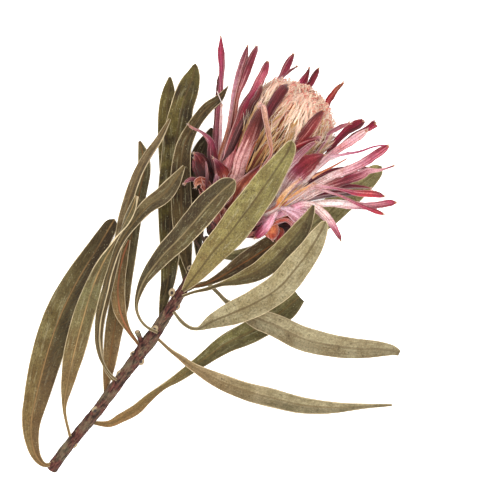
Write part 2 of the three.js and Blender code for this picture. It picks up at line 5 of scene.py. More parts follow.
import bpy
from mathutils import Matrix, Vector, noise


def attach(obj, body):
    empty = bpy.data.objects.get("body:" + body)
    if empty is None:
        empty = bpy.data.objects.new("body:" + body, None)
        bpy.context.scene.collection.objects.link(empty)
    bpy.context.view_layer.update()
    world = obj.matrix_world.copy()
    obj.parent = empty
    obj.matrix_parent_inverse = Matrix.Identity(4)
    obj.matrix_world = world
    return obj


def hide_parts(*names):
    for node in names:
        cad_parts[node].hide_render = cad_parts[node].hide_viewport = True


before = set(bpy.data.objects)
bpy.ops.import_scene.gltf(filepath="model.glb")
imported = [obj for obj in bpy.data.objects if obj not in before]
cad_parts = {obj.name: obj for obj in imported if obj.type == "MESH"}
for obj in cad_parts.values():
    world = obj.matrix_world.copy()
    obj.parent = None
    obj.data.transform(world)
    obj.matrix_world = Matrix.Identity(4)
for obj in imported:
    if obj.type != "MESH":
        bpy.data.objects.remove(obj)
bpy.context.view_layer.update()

# ---------------------------------------------------------------- eye
# The eye looks straight down from over the middle of the picture. Its picture is turned so that
# the stem, which lies along +X, runs from the lower left to the upper right.
EYE_HEIGHT = 1.240
EYE_PLACE = Vector((0.03917, 0.02079, 0))
STEM_BEARING = math.radians(52)
PICTURE_MIDDLE = 240
SEEN_STEP = 0.0006  # one picture step at SEEN_HEIGHT
SEEN_HEIGHT = 0.040
LENS = 150
SENSOR = 36

eye = bpy.data.objects.new("eye", bpy.data.cameras.new("eye"))
eye.data.lens = LENS
eye.data.sensor_width = SENSOR
eye.data.clip_end = 20
eye.location = EYE_PLACE + Vector((0, 0, EYE_HEIGHT))
eye.rotation_euler = (0, 0, -STEM_BEARING)
bpy.context.scene.collection.objects.link(eye)
bpy.context.scene.camera = eye


def seen_step(height):
    """The real size of one picture step at a height over the floor."""
    return SEEN_STEP * (EYE_HEIGHT - height) / (EYE_HEIGHT - SEEN_HEIGHT)


def seen(across, down, height):
    """The place seen at a picture place, at a height over the floor."""
    step = seen_step(height)
    flat = Vector(((across - PICTURE_MIDDLE) * step, (PICTURE_MIDDLE - down) * step, height))
    flat.rotate(Matrix.Rotation(-STEM_BEARING, 3, "Z"))
    return flat + EYE_PLACE


# ---------------------------------------------------------------- floor and light
# A plain pale floor under a bright, even sky, with one wide soft light from the upper left of the
# picture for shape and a weaker one from the right.
FLOOR_SIZE = 6.0
FLOOR_COLOUR = (0.92, 0.92, 0.91, 1)
FLOOR_GLOW = 0.6  # the floor is a pale sheet, lit a little from below
SKY_STRENGTH = 0.95
SOFT_LIGHTS = [  # name, place, size in metres, watts
    ("key", seen(60, 40, 0.95), 1.1, 17.0),
    ("fill", seen(560, 330, 0.80), 1.3, 6.0),
]
LIT_PLACE = seen(260, 230, 0.05)  # the middle of the flower


def new_finish(name, settings):
    """A new material with these settings of its shader, and the tree of its nodes."""
    material = bpy.data.materials.new(name)
    material.use_nodes = True
    for key, value in settings.items():
        material.node_tree.nodes["Principled BSDF"].inputs[key].default_value = value
    return material, material.node_tree


bpy.ops.mesh.primitive_plane_add(size=FLOOR_SIZE)
floor = bpy.context.object
floor.name = "floor"
floor_paint, _tree = new_finish("pale_floor", {
    "Base Color": FLOOR_COLOUR,
    "Roughness": 0.9,
    "Specular IOR Level": 0.1,
    "Emission Color": (1, 1, 1, 1),
    "Emission Strength": FLOOR_GLOW,
})
floor.data.materials.append(floor_paint)

sky = bpy.data.worlds.new("sky")
sky.use_nodes = True
sky.node_tree.nodes["Background"].inputs["Color"].default_value = (1, 1, 1, 1)
sky.node_tree.nodes["Background"].inputs["Strength"].default_value = SKY_STRENGTH
bpy.context.scene.world = sky
bpy.context.scene.view_settings.view_transform = "Standard"

for light_name, light_place, light_size, light_power in SOFT_LIGHTS:
    lamp = bpy.data.objects.new(light_name, bpy.data.lights.new(light_name, "AREA"))
    lamp.data.shape = "DISK"
    lamp.data.size = light_size
    lamp.data.energy = light_power
    lamp.location = light_place
    lamp.rotation_euler = (LIT_PLACE - light_place).to_track_quat("-Z", "Y").to_euler()
    bpy.context.scene.collection.objects.link(lamp)


# ---------------------------------------------------------------- stem
# The woody stem: reddish-brown bark with grey-green patches, ridged along its length, thicker
# where a side shoot was cut off. It was cut straight across at its foot.
STEM_ROUTE = [  # across, down, height in mm, radius in mm
    (51, 470, 2.9, 3.7),
    (66, 449, 7, 3.6),
    (97, 411, 14, 3.6),
    (120, 380, 20, 3.7),
    (141, 352, 25.5, 4.1),
    (150, 340, 28, 4.5),
    (160, 325, 31, 3.8),
    (185, 286, 39, 3.1),
    (200, 259, 44.5, 2.6),
    (208.6, 237.2, 48.9, 2.5),
]
STUB_ROUTE = [(143, 346, 26, 1.9), (140, 338, 30, 1.7), (137, 331, 33, 1.8)]
STEM_STEPS, STEM_SIDES = 110, 20
STUB_STEPS, STUB_SIDES = 12, 14
BARK_LUMPS = 0.00045  # how far the bark's ridges and lumps stand out
MM = 0.001


def smooth_rows(rows, count):
    """Rows of numbers, evenly spaced along the smooth curve through the given rows. The first
    three numbers of a row are its place."""
    fine = []
    for i in range(len(rows) - 1):
        ends = rows[max(i - 1, 0)], rows[i], rows[i + 1], rows[min(i + 2, len(rows) - 1)]
        for k in range(16):
            t = k / 16
            fine.append([
                0.5 * (2 * b + (c - a) * t + (2 * a - 5 * b + 4 * c - d) * t * t
                       + (3 * b - a - 3 * c + d) * t ** 3)
                for a, b, c, d in zip(*ends)
            ])
    fine.append(list(rows[-1]))
    reach = [0.0]
    for here, there in zip(fine, fine[1:]):
        reach.append(reach[-1] + math.dist(here[:3], there[:3]))
    spaced = []
    at = 0
    for k in range(count + 1):
        want = reach[-1] * k / count
        while at < len(fine) - 2 and reach[at + 1] < want:
            at += 1
        part = (want - reach[at]) / max(reach[at + 1] - reach[at], 1e-9)
        spaced.append([p + (q - p) * min(part, 1) for p, q in zip(fine[at], fine[at + 1])])
    return spaced


def pigment(red, green, blue):
    """A colour of the picture as the surface colour that gives it in this bright light."""
    return tuple(0.42 * (value / 255) ** 2.2 for value in (red, green, blue)) + (1,)


def add(tree, kind, feeds=(), output=0, **settings):
    """Adds a node and gives one of its outputs; feeds are (input, value or output socket)."""
    node = tree.nodes.new(kind)
    for key, value in settings.items():
        setattr(node, key, value)
    for key, value in feeds:
        if isinstance(value, bpy.types.NodeSocket):
            tree.links.new(value, node.inputs[key])
        else:
            node.inputs[key].default_value = value
    return node.outputs[output]


def place_on(tree):
    """The place on the piece."""
    return add(tree, "ShaderNodeTexCoord", output="Object")


def scaled(tree, place, x, y, z):
    """A place stretched along its three directions."""
    return add(tree, "ShaderNodeMapping", [("Vector", place), ("Scale", (x, y, z))])


def clouds(tree, place, scale, detail=3.0, rough=0.55):
    """Cloudy noise at a place, as a share."""
    feeds = [("Vector", place), ("Scale", scale), ("Detail", detail), ("Roughness", rough)]
    return add(tree, "ShaderNodeTexNoise", feeds)


def stretched(tree, value, start, end, low=0.0, high=1.0):
    """A value between start and end as a share between low and high."""
    ends = [("From Min", start), ("From Max", end), ("To Min", low), ("To Max", high)]
    return add(tree, "ShaderNodeMapRange", [("Value", value)] + ends)


def worked(tree, way, first, second=0.0):
    """Two values worked out in this way."""
    return add(tree, "ShaderNodeMath", [(0, first), (1, second)], operation=way)


def plus(tree, first, second):
    """One value added to another."""
    return worked(tree, "ADD", first, second)


def times(tree, first, second):
    """One value multiplied by another."""
    return worked(tree, "MULTIPLY", first, second)


def mixed(tree, share, under, over, way="MIX"):
    """The colour over laid on the colour under, by a share."""
    feeds = [("Factor", share), (6, under), (7, over)]
    return add(tree, "ShaderNodeMix", feeds, 2, data_type="RGBA", blend_type=way)


def laid(tree, under, value, start, end, most, over, way="MIX"):
    """The colour over laid on the colour under, more where a value nears the end, at most so much."""
    return mixed(tree, stretched(tree, value, start, end, 0, most), under, over, way)


def painted(material, colour, height, depth, strength=1.0):
    """Gives a finish its colour, and a relief of this height as a share of a depth in metres."""
    tree = material.node_tree
    shader = tree.nodes["Principled BSDF"]
    feeds = [("Height", height), ("Distance", depth), ("Strength", strength)]
    tree.links.new(colour, shader.inputs["Base Color"])
    tree.links.new(add(tree, "ShaderNodeBump", feeds), shader.inputs["Normal"])
    return material


def closed():
    """Closes the open ends of the mesh being edited and turns its faces outwards."""
    bpy.ops.mesh.select_all(action="DESELECT")
    bpy.ops.mesh.select_non_manifold()
    bpy.ops.mesh.fill_holes(sides=0)
    bpy.ops.mesh.select_all(action="SELECT")
    bpy.ops.mesh.normals_make_consistent(inside=False)
    bpy.ops.object.mode_set(mode="OBJECT")
    return bpy.context.object


def stem_tube(name, route, steps, sides):
    """A closed tube drawn out along a route, ring by ring, from a circle across its start."""
    rings = smooth_rows([[*seen(u, v, z * MM), radius * MM] for u, v, z, radius in route], steps)
    start, end = Vector(rings[0][:3]), Vector(rings[-1][:3])
    turn = (end - start).to_track_quat("Z", "Y").to_euler()
    bpy.ops.mesh.primitive_circle_add(vertices=sides, radius=rings[0][3], location=start, rotation=turn)
    bpy.ops.object.transform_apply(location=True, rotation=True, scale=True)
    bpy.ops.object.mode_set(mode="EDIT")
    bpy.ops.mesh.select_all(action="SELECT")
    for here, there in zip(rings, rings[1:]):
        step = Vector(there[:3]) - Vector(here[:3])
        bpy.ops.mesh.extrude_region_move(TRANSFORM_OT_translate={"value": step})
        bpy.ops.transform.resize(value=(there[3] / here[3],) * 3, center_override=there[:3])
    tube = closed()
    tube.name = name
    return tube


def selected(*pieces):
    """Selects these pieces alone and gives the first, which is the active one."""
    bpy.ops.object.select_all(action="DESELECT")
    for piece in pieces:
        piece.select_set(True)
    bpy.context.view_layer.objects.active = pieces[0]
    return pieces[0]


def finished_with(piece, kind, **settings):
    """Adds a modifier to a piece and applies it."""
    modifier = piece.modifiers.new(kind.lower(), kind)
    for key, value in settings.items():
        setattr(modifier, key, value)
    selected(piece)
    bpy.ops.object.modifier_apply(modifier=modifier.name)


def joined(name, pieces):
    """Pieces joined into one, under a name."""
    whole = selected(*pieces)
    bpy.ops.object.join()
    whole.name = name
    return whole


def smoothed(piece, degrees):
    """Smooth shading, sharp only at edges above an angle."""
    selected(piece)
    bpy.ops.object.shade_smooth_by_angle(angle=math.radians(degrees))


def bark_finish():
    """Brown and grey-green bark, streaked along, with dark splits and pale knots."""
    material, tree = new_finish("dry_bark", {"Roughness": 0.78, "Specular IOR Level": 0.15})
    place = place_on(tree)
    streaks = clouds(tree, scaled(tree, place, 0.16, 1, 1), 900, 4, 0.65)
    patches = clouds(tree, place, 80, 5, 0.7)
    splits = clouds(tree, scaled(tree, place, 0.1, 1, 1), 520, 3, 0.6)
    knots = clouds(tree, place, 420, 2)
    grey_green = mixed(tree, streaks, pigment(66, 58, 40), pigment(172, 158, 124))
    bark = laid(tree, pigment(42, 20, 17), streaks, 0.35, 0.65, 1, pigment(126, 76, 66))
    bark = laid(tree, bark, patches, 0.45, 0.66, 0.85, grey_green)
    bark = laid(tree, bark, splits, 0.54, 0.62, 0.75, pigment(28, 17, 13))
    bark = laid(tree, bark, knots, 0.62, 0.72, 0.7, pigment(150, 122, 92))
    return painted(material, bark, plus(tree, streaks, clouds(tree, place, 1500, 2)), 0.0007, 0.8)


def fibrous_finish(name, roughness, along, scale, ends, low, high, depth, strength=1.0):
    """Dry fibrous stuff between two colours, with a grain drawn out along the stem."""
    material, tree = new_finish(name, {"Roughness": roughness})
    grain = clouds(tree, scaled(tree, place_on(tree), along, 1, 1), scale, 3)
    colour = laid(tree, pigment(*low), grain, *ends, 1, pigment(*high))
    return painted(material, colour, grain, depth, strength)


stem = stem_tube("woody_stem", STEM_ROUTE, STEM_STEPS, STEM_SIDES)
stub = stem_tube("side_stub", STUB_ROUTE, STUB_STEPS, STUB_SIDES)
bark_relief = bpy.data.textures.new("bark_relief", "CLOUDS")
bark_relief.noise_scale = 0.0045
bark_relief.noise_depth = 3
for wood in (stem, stub):
    finished_with(wood, "SUBSURF", levels=1, render_levels=1)
    finished_with(wood, "DISPLACE", texture=bark_relief, texture_coords="LOCAL",
                  strength=2 * BARK_LUMPS, mid_level=0.5)
stem = joined("woody_stem", [stem, stub])
stem.data.materials.append(bark_finish())
stem.data.materials.append(fibrous_finish(
    "cut_wood", 0.85, 0.3, 1600, (0.35, 0.65), (150, 118, 88), (205, 176, 138), 0.0004, 0.7))
butt, stub_foot, stub_end = [
    seen(u, v, z * MM) for u, v, z, _radius in (STEM_ROUTE[0], STUB_ROUTE[0], STUB_ROUTE[-1])
]
stub_way = (stub_end - stub_foot).normalized()
for vertex in stem.data.vertices:
    vertex.co.z = max(vertex.co.z, 0)
for face in stem.data.polygons:
    at_butt = (face.center - butt).length < 0.006 and face.normal.x < -0.8
    at_stub = (face.center - stub_end).length < 0.003 and face.normal.dot(stub_way) > 0.8
    if at_butt or at_stub:
        face.material_index = 1
smoothed(stem, 55)
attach(stem, "root")
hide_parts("stem")


# ---------------------------------------------------------------- bud scars
# Where leaves fell off, the bark keeps a low pale scar with a small dark bud on it. They sit on
# the upper side of the stem, and all are copies of one.
BUDS = [  # across, down, height in mm, size in mm
    (95.5, 410.5, 16.4, 2.7),
    (119.5, 374, 22.2, 2.3),
    (141, 361, 25.8, 2.6),
    (172, 292.5, 38.4, 2.4),
    (177, 306.5, 36.0, 2.3),
    (154.5, 329, 33.4, 2.4),
    (190, 268, 43.2, 1.9),
    (133, 353.5, 26.4, 1.9),
    (74, 445, 9.5, 2.2),
]


def marked(tree, name, output="Fac"):
    """What the mesh says under this name at a point."""
    return add(tree, "ShaderNodeAttribute", output=output, attribute_name=name)


def bud_finish():
    """A pale scar round a dark bud."""
    material, tree = new_finish("bud_scar", {"Roughness": 0.8})
    rough = clouds(tree, place_on(tree), 1400, 3)
    scar = mixed(tree, rough, pigment(128, 100, 70), pigment(220, 194, 150))
    bud = mixed(tree, rough, pigment(30, 18, 16), pigment(70, 46, 36))
    edge = plus(tree, marked(tree, "tip"), times(tree, rough, 0.2))
    return painted(material, laid(tree, scar, edge, 0.62, 0.72, 1, bud), rough, 0.0004)


def bud_model():
    """One scar with its bud, one unit in size, pointing up: a low dome drawn out to a point."""
    bpy.ops.mesh.primitive_uv_sphere_add(segments=16, ring_count=12, radius=1)
    bud = bpy.context.object
    tip = bud.data.attributes.new("tip", "FLOAT", "POINT")
    for vertex in bud.data.vertices:
        if vertex.co.z > 0:
            flat = math.hypot(vertex.co.x, vertex.co.y)
            point = max(0, 1 - 2.1 * flat)
            tip.data[vertex.index].value = 1 - flat
            vertex.co.z = 0.34 * vertex.co.z + 0.75 * point ** 0.8
            vertex.co.x += 0.35 * point
    return bud


bud_shape = bud_model()
buds = []
for index, (u, v, z, size) in enumerate(BUDS):
    bud = bud_shape.copy()
    bud.data = bud_shape.data.copy()
    bpy.context.scene.collection.objects.link(bud)
    turn = Matrix.Rotation(0.5 * math.sin(index * 7), 4, "Z") @ Matrix.Rotation(-0.35, 4, "Y")
    stretch = Matrix.Diagonal((1.15 * size * MM, 0.85 * size * MM, size * MM, 1))
    bud.data.transform(Matrix.Translation(seen(u, v, z * MM)) @ turn @ stretch)
    buds.append(bud)
bpy.data.objects.remove(bud_shape)
buds = joined("bud_scars", buds)
buds.data.materials.append(bud_finish())
smoothed(buds, 60)
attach(buds, "root")


# ---------------------------------------------------------------- dry remnants
# Short dry stubs of small leaves that broke off just under the flower. They are thin, brown and
# fibrous, curl a little, and still grow from the bark.
REMNANTS = [  # across, down, height in mm, width and, where it isn't 0, roll in degrees
    [(203, 252, 47, 2.6), (198, 245, 50, 2.6, 20), (194, 238, 51, 1.6, 40), (192, 232, 52, 0.6, 40)],
    [(206, 246, 49, 2.4), (203, 238, 52, 2.4, 30), (199, 229, 54, 1.8, 60), (197, 221, 55, 0.6, 60)],
    [(204, 249, 46, 2.2), (209, 247, 46, 2.0), (214, 243, 45, 0.7, 30)],
    [(200, 256, 45, 2.2), (207, 256, 47, 1.8), (212, 252, 48, 0.6)],
]
REMNANT_THICKNESS = 0.0006


def across_at(ahead, roll):
    """The sideways direction of a blade that runs ahead, rolled by degrees."""
    flat = ahead.cross(Vector((0, 0, 1))).normalized()
    flat.rotate(Matrix.Rotation(math.radians(roll), 3, ahead))
    return flat


def blade(name, stations, columns, section, thick):
    """A thin blade shaped from a flat grid. Each station gives a place, a sideways direction and a
    width. section(side, share, width) gives how far a point of the blade lies sideways and up,
    and thick(share, width) how thick the blade is there."""
    steps = len(stations) - 1
    bpy.ops.mesh.primitive_grid_add(x_subdivisions=columns, y_subdivisions=steps, size=2)
    piece = bpy.context.object
    piece.name = name
    mesh = piece.data
    for mark in ("margin", "rib", "share", "side"):
        mesh.attributes.new(mark, "FLOAT", "POINT")
    most = max(thick(k / steps, stations[k][2]) for k in range(steps + 1))
    frames = []
    for k, (place, across, width) in enumerate(stations):
        ahead = stations[min(k + 1, steps)][0] - stations[max(k - 1, 0)][0]
        ahead.normalize()
        sideways = (across - across.dot(ahead) * ahead).normalized()
        frames.append((place, sideways, sideways.cross(ahead), width))
    marks = mesh.attributes
    for vertex in mesh.vertices:
        at, side = vertex.index, vertex.co.x
        k = round((vertex.co.y + 1) / 2 * steps)
        place, sideways, up, width = frames[k]
        out, lift = section(side, k / steps, width)
        vertex.co = place + out * sideways + lift * up
        marks["margin"].data[at].value = (1 - abs(side)) * width / 2 / MM
        marks["rib"].data[at].value = abs(side) * width / 2 / MM
        marks["share"].data[at].value = k / steps
        marks["side"].data[at].value = side
    thickness = piece.vertex_groups.new(name="thickness")
    for k, (_place, _across, width) in enumerate(stations):
        row = range(k * (columns + 1), (k + 1) * (columns + 1))
        thickness.add(list(row), thick(k / steps, width) / most, "REPLACE")
    finished_with(piece, "SOLIDIFY", thickness=most, offset=0, vertex_group="thickness", material_offset=1)
    piece.vertex_groups.clear()
    return piece


def rows_to_stations(rows, steps, least, rounding=lambda left: 1):
    """Stations of a blade from rows of a place, a width and a roll. The rounding makes the blade
    narrower by how much of its length is left, in metres."""
    spaced = smooth_rows(rows, steps)
    stations = []
    for k, row in enumerate(spaced):
        ahead = Vector(spaced[min(k + 1, steps)][:3]) - Vector(spaced[max(k - 1, 0)][:3])
        width = row[3] * rounding(math.dist(row[:3], spaced[-1][:3]))
        stations.append((Vector(row[:3]), across_at(ahead.normalized(), row[4]), max(width, least)))
    return stations


def seen_stations(rows, steps, blunt=0.0):
    """Stations of a blade from picture places: across, down, height in mm, seen width and, where
    it isn't 0, roll. A blunt blade is rounded off over the given length in mm at its tip."""
    def rounding(left):
        left = left / MM
        return math.sqrt(1 - (1 - left / blunt) ** 2) if left < blunt else 1

    places = [
        [*seen(u, v, z * MM), width * seen_step(z * MM), *(roll or [0])]
        for u, v, z, width, *roll in rows
    ]
    return rows_to_stations(places, steps, 0.0005, rounding)


def flat_section(side, share, width):
    """A nearly flat cross-section, a little hollow."""
    return side * width / 2, 0.12 * width * side * side


remnants = [
    blade("dry_remnants", seen_stations(rows, 16), 4, flat_section, lambda *_at: REMNANT_THICKNESS)
    for rows in REMNANTS
]
remnants = joined("dry_remnants", remnants)
remnants.data.materials.append(fibrous_finish(
    "dry_remnant", 0.8, 0.4, 1800, (0.3, 0.7), (52, 34, 26), (128, 88, 62), 0.0003))
smoothed(remnants, 50)
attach(remnants, "root")


# ---------------------------------------------------------------- leaves
# Dry leathery leaves on short flat stalks. Each blade is folded a little along its raised midrib,
# waves along its length and has a thin pale horny margin. Two twist over and show their underside.
LEAVES = {  # across, down, height in mm, seen width and, where it isn't 0, roll in degrees
    "leaf_01": [
        (58, 460, 5, 3), (45, 465, 6, 5), (34.5, 452, 6, 11, 5), (31, 425, 6, 19, 10),
        (36.5, 395, 6.5, 26.5, 12), (46, 357.5, 7.5, 32.5, 12), (59, 318.7, 8, 33.5, 8),
        (76.6, 282.3, 7, 29, 4), (95, 252, 5, 22), (107, 232, 3.5, 17), (114.5, 219.5, 2.5, 13),
    ],
    "leaf_02": [
        (70, 436, 11, 3), (64.5, 410, 15, 4), (67, 386, 19, 12), (75, 350, 27, 22), (84, 316, 36, 22),
        (93, 286, 45, 18, 10), (103, 262, 52, 14, 30), (114.5, 241, 57, 7, 70),
        (125, 222, 60, 11, 130), (132, 208, 61, 9, 150), (137, 196, 62, 2.5, 150),
    ],
    "leaf_03": [
        (117, 380, 22, 2.6), (110.5, 374.5, 24, 2.4), (104.5, 366, 26, 2.6), (100.5, 356, 28, 4, -20),
        (98, 344, 31, 5.5, -30), (97.5, 334, 34, 6.5, -35), (98.5, 320, 37, 7.5, -35),
        (102, 303, 40, 8.5, -35), (106, 289, 43, 9, -35), (110, 271, 46, 9, -30),
        (117.3, 250, 48, 7.5, -25), (127.3, 231.6, 50, 9, -15), (145.7, 208.3, 52, 14.5),
        (162, 195.7, 54, 18, 8), (173, 183, 56, 15, 10), (184, 166, 58, 3, 10),
    ],
    "leaf_04": [
        (105, 393, 16, 3), (109, 366, 13, 13), (113.5, 333, 11, 18, 5), (119, 304, 11, 20, 8),
        (123, 280, 12, 19, 8), (127, 258, 13, 18, 8), (131, 237, 14, 16, 8), (135, 214, 16, 15, 8),
        (140, 190, 18, 15, 8), (144, 170, 19, 14), (143, 154, 20, 11), (139.5, 141, 20, 3),
    ],
    "leaf_05": [
        (140, 346, 25, 3), (129, 331, 25, 5), (121, 314, 25, 12), (118, 295, 25, 15),
        (119, 276, 25, 14), (123, 257, 26, 11), (129, 240, 27, 3),
    ],
    "leaf_06": [
        (114.5, 381.5, 20, 2.4), (108.5, 375, 21.5, 2.2), (104, 366.5, 23.5, 2.4), (102, 356, 26, 3),
        (101.3, 344, 28.5, 3.4), (101.6, 333, 30.5, 3.4), (103.5, 318, 32, 4), (107.5, 300, 33, 5),
        (111.5, 280, 34, 7), (115.5, 260, 35, 8.5), (119, 241, 36, 10), (124, 219, 37, 12, -10),
        (130, 197, 38, 11, -20), (138, 175, 39, 11, -25), (148, 156, 40, 10, -25),
        (158, 141, 41, 8, -20), (170, 119, 42, 2.5),
    ],
    "leaf_08": [
        (160, 322, 29, 3), (164, 300, 27, 10), (168, 280, 26, 15), (170, 253, 26, 20),
        (170, 223, 27, 24), (171, 190, 28, 26), (174, 160, 29, 27), (177.5, 132, 30, 27),
        (182, 108, 31, 24), (188.5, 88, 32, 22), (193.5, 74, 32.6, 14), (195.3, 63.5, 33, 3),
    ],
    "leaf_09": [
        (185, 284, 36, 3), (183, 268, 24, 7), (178, 241, 18, 12), (173, 210, 16, 15),
        (169, 180, 16, 17), (167, 150, 15, 18), (166.5, 125, 15, 18), (167.5, 104, 15, 17),
        (169, 89, 15, 12), (170, 77, 15, 3),
    ],
    "leaf_10": [
        (190, 276, 40, 3), (187, 262, 39, 10), (184, 240, 38, 18), (182, 215, 38, 21),
        (181, 190, 38.5, 21), (181, 168, 40, 20), (184, 146, 43, 16, 5), (193.5, 125.5, 46, 12.5, 8),
        (206.5, 108.5, 49, 11.5, 8), (219, 98.6, 52, 8.5), (224.8, 91, 53.5, 4),
        (228.5, 85.5, 54, 0.8),
    ],
    "leaf_11": [
        (198, 262, 43, 3), (198, 242, 36, 9), (197, 220, 28, 17), (196, 200, 24, 21),
        (197, 180, 22, 24), (200, 161, 21, 22), (205, 145, 21, 17), (212, 128, 21, 3),
    ],
    "leaf_12": [
        (157, 332, 34, 3), (147, 327, 39, 3), (140, 319, 43, 3), (136.5, 308, 47, 3.5),
        (138, 296, 51, 6), (143.5, 281.5, 55, 10), (153, 267.5, 60, 15), (165, 253, 66, 20),
        (179.5, 238.5, 72, 23), (195, 221, 78, 26), (208.5, 205, 84, 27), (221, 192, 88, 23),
        (229, 185, 91, 20), (235, 180, 92, 14),
    ],
    "leaf_13": [
        (183, 291, 40, 3), (191, 281, 50, 12), (201, 268, 58, 20), (213, 252, 67, 27),
        (227, 236.7, 76, 30.5), (241, 218.3, 85, 32.5), (255, 199.8, 94, 32),
        (268.5, 180.5, 103, 28.5), (280, 163.8, 111, 22), (288.2, 150.6, 117, 16),
        (292, 140.3, 120, 8),
    ],
    "leaf_14": [
        (186, 288, 38, 3), (205, 284, 40, 5), (222, 276, 42, 10), (240, 265, 43, 18),
        (258, 254, 44, 22), (275, 243, 44, 20), (290, 234, 42, 12), (297, 228, 41, 3),
    ],
    "leaf_15": [
        (183, 296, 40, 3), (194, 292, 43.5, 3), (207, 289, 46, 4), (222, 284, 50, 5),
        (238, 279.5, 55, 12), (256, 272, 61, 19, 8), (272, 260.5, 67, 22, 10),
        (288, 244.5, 74, 22, 10), (302, 227.5, 81, 18, 5), (310, 214, 86, 10), (313.4, 205.5, 88, 3),
    ],
    "leaf_16": [
        (174, 312, 36, 3), (182, 322, 39, 4), (191, 328, 42, 4), (200, 328, 45, 5), (213, 321, 53, 15),
        (233, 313, 62, 24), (257, 302, 70, 28), (280, 286.5, 78, 29), (297.5, 266.5, 84, 28),
        (309.5, 250.5, 89, 23.5), (317, 238, 93, 19), (322, 229, 94.3, 13), (325.6, 221, 95, 7),
    ],
    "leaf_17": [
        (188, 290, 36, 3), (205, 283, 37, 4), (216, 291, 38, 4), (226, 301, 39, 5), (240, 310, 39, 12),
        (256, 318, 38, 20), (275, 325.5, 36, 23), (301, 338, 31, 25), (327, 344.5, 25, 24),
        (353, 348.2, 18, 21), (375, 349, 11, 17), (391, 350, 5, 11), (399, 353, 2, 6),
    ],
    "leaf_18": [
        (90, 422, 11, 3), (108, 424, 8, 7), (121, 418, 5.5, 10), (136, 409.5, 4, 11),
        (150, 396.5, 5, 9, 15), (164, 386, 8, 7, 20), (180, 376, 10, 10, 10), (200, 362, 12, 13),
        (225, 344, 13, 20), (250, 332, 13, 24), (272, 319, 12, 24), (287, 307, 9, 24),
        (299, 296.5, 5, 15),
    ],
    "leaf_19": [
        (157, 338, 29, 3), (170, 350, 28, 4), (181, 358, 27, 6), (195, 368, 25, 9), (218, 380, 20, 16),
        (246, 391, 14, 19), (275, 398.5, 9, 19), (303, 405, 5, 17), (333, 407.5, 3, 12),
        (362, 406.3, 2, 6), (392, 405, 1.5, 2.5),
    ],
    "leaf_20": [
        (206, 246, 45, 3), (224, 255, 36, 8), (250, 254, 28, 15), (275, 246, 20, 20),
        (300, 234, 13, 24), (325, 216, 9, 27), (345, 198, 7, 27), (362, 183, 6, 23), (374, 173, 5, 17),
        (381, 166.5, 4, 9),
    ],
}
LEAF_STEPS = 110
LEAF_COLUMNS = 22
LEAF_FOLD = 0.14  # how far a margin stands above the midrib, as a share of the blade's width
DEEP_FOLD = {"leaf_19": 0.30}
LOWEST = 0.0002  # nothing dips under this height over the floor
BLADE_THICKNESS = 0.0006
STALK_THICKNESS = 0.0017
RIB_HEIGHT = 0.00045
RIB_WIDTH = 0.0006

# How each leaf looks: main colour, second colour of its mottling, midrib, how strongly the midrib
# shows, how much its margins wave, and how deep the painted shade on one half is (plus right, minus left).
LEAF_LOOKS = {
    "leaf_01": ((130, 116, 72), (98, 82, 44), (176, 134, 84), 0.7, 0.9, 0.68),
    "leaf_02": ((128, 120, 78), (106, 92, 56), (192, 154, 100), 0.8, 1.2, 0.2),
    "leaf_03": ((128, 112, 76), (92, 76, 48), (152, 122, 74), 0.5, 1.4, 0.5),
    "leaf_04": ((122, 110, 74), (92, 80, 50), (150, 104, 58), 0.6, 1.0, 0.3),
    "leaf_05": ((142, 116, 74), (112, 90, 54), (182, 112, 74), 0.9, 1.1, 0.3),
    "leaf_06": ((136, 114, 82), (104, 84, 56), (160, 130, 84), 0.5, 1.0, 0.4),
    "leaf_08": ((102, 90, 42), (54, 42, 16), (124, 98, 56), 0.35, 0.9, 0.35),
    "leaf_09": ((132, 116, 62), (98, 84, 40), (124, 100, 58), 0.4, 0.8, 0.4),
    "leaf_10": ((94, 76, 42), (64, 48, 24), (136, 104, 62), 0.35, 1.0, 0.4),
    "leaf_11": ((74, 60, 36), (50, 38, 22), (92, 70, 42), 0.3, 0.8, 0.4),
    "leaf_12": ((100, 88, 54), (82, 66, 40), (166, 144, 102), 0.7, 0.8, -0.5),
    "leaf_13": ((162, 150, 90), (130, 116, 68), (98, 76, 44), 0.6, 0.6, 0.2),
    "leaf_14": ((112, 90, 58), (84, 64, 40), (170, 110, 62), 0.7, 1.0, 0.3),
    "leaf_15": ((142, 128, 80), (116, 98, 58), (106, 84, 54), 0.4, 1.0, 0.55),
    "leaf_16": ((190, 176, 136), (156, 140, 100), (112, 88, 54), 0.6, 0.8, 0.2),
    "leaf_17": ((180, 166, 128), (148, 130, 94), (178, 152, 112), 0.3, 1.3, 0.25),
    "leaf_18": ((132, 124, 76), (104, 94, 54), (158, 128, 72), 0.4, 1.0, 0.35),
    "leaf_19": ((194, 178, 138), (154, 140, 102), (176, 146, 100), 0.3, 1.2, 0.4),
    "leaf_20": ((186, 174, 118), (152, 138, 88), (150, 134, 88), 0.4, 0.8, 0.3),
}
BLUNT = {"leaf_01": 5.0, "leaf_08": 1.5, "leaf_12": 6.0, "leaf_13": 3.5, "leaf_16": 2.5, "leaf_20": 3.0}
DARK_TIPS = {"leaf_01": 0.75, "leaf_02": 0.35, "leaf_15": 0.3, "leaf_12": 0.2}
TAN_FEET = {
    "leaf_01": 0.4, "leaf_02": 0.5, "leaf_04": 0.5, "leaf_05": 0.5, "leaf_13": 0.3, "leaf_18": 0.8,
    "leaf_19": 0.6,
}


def smooth_share(value, start, end):
    """How far a value has come from start to end, eased at both."""
    share = min(max((value - start) / (end - start), 0), 1)
    return share * share * (3 - 2 * share)


def grey(value):
    """A plain grey."""
    return value, value, value, 1


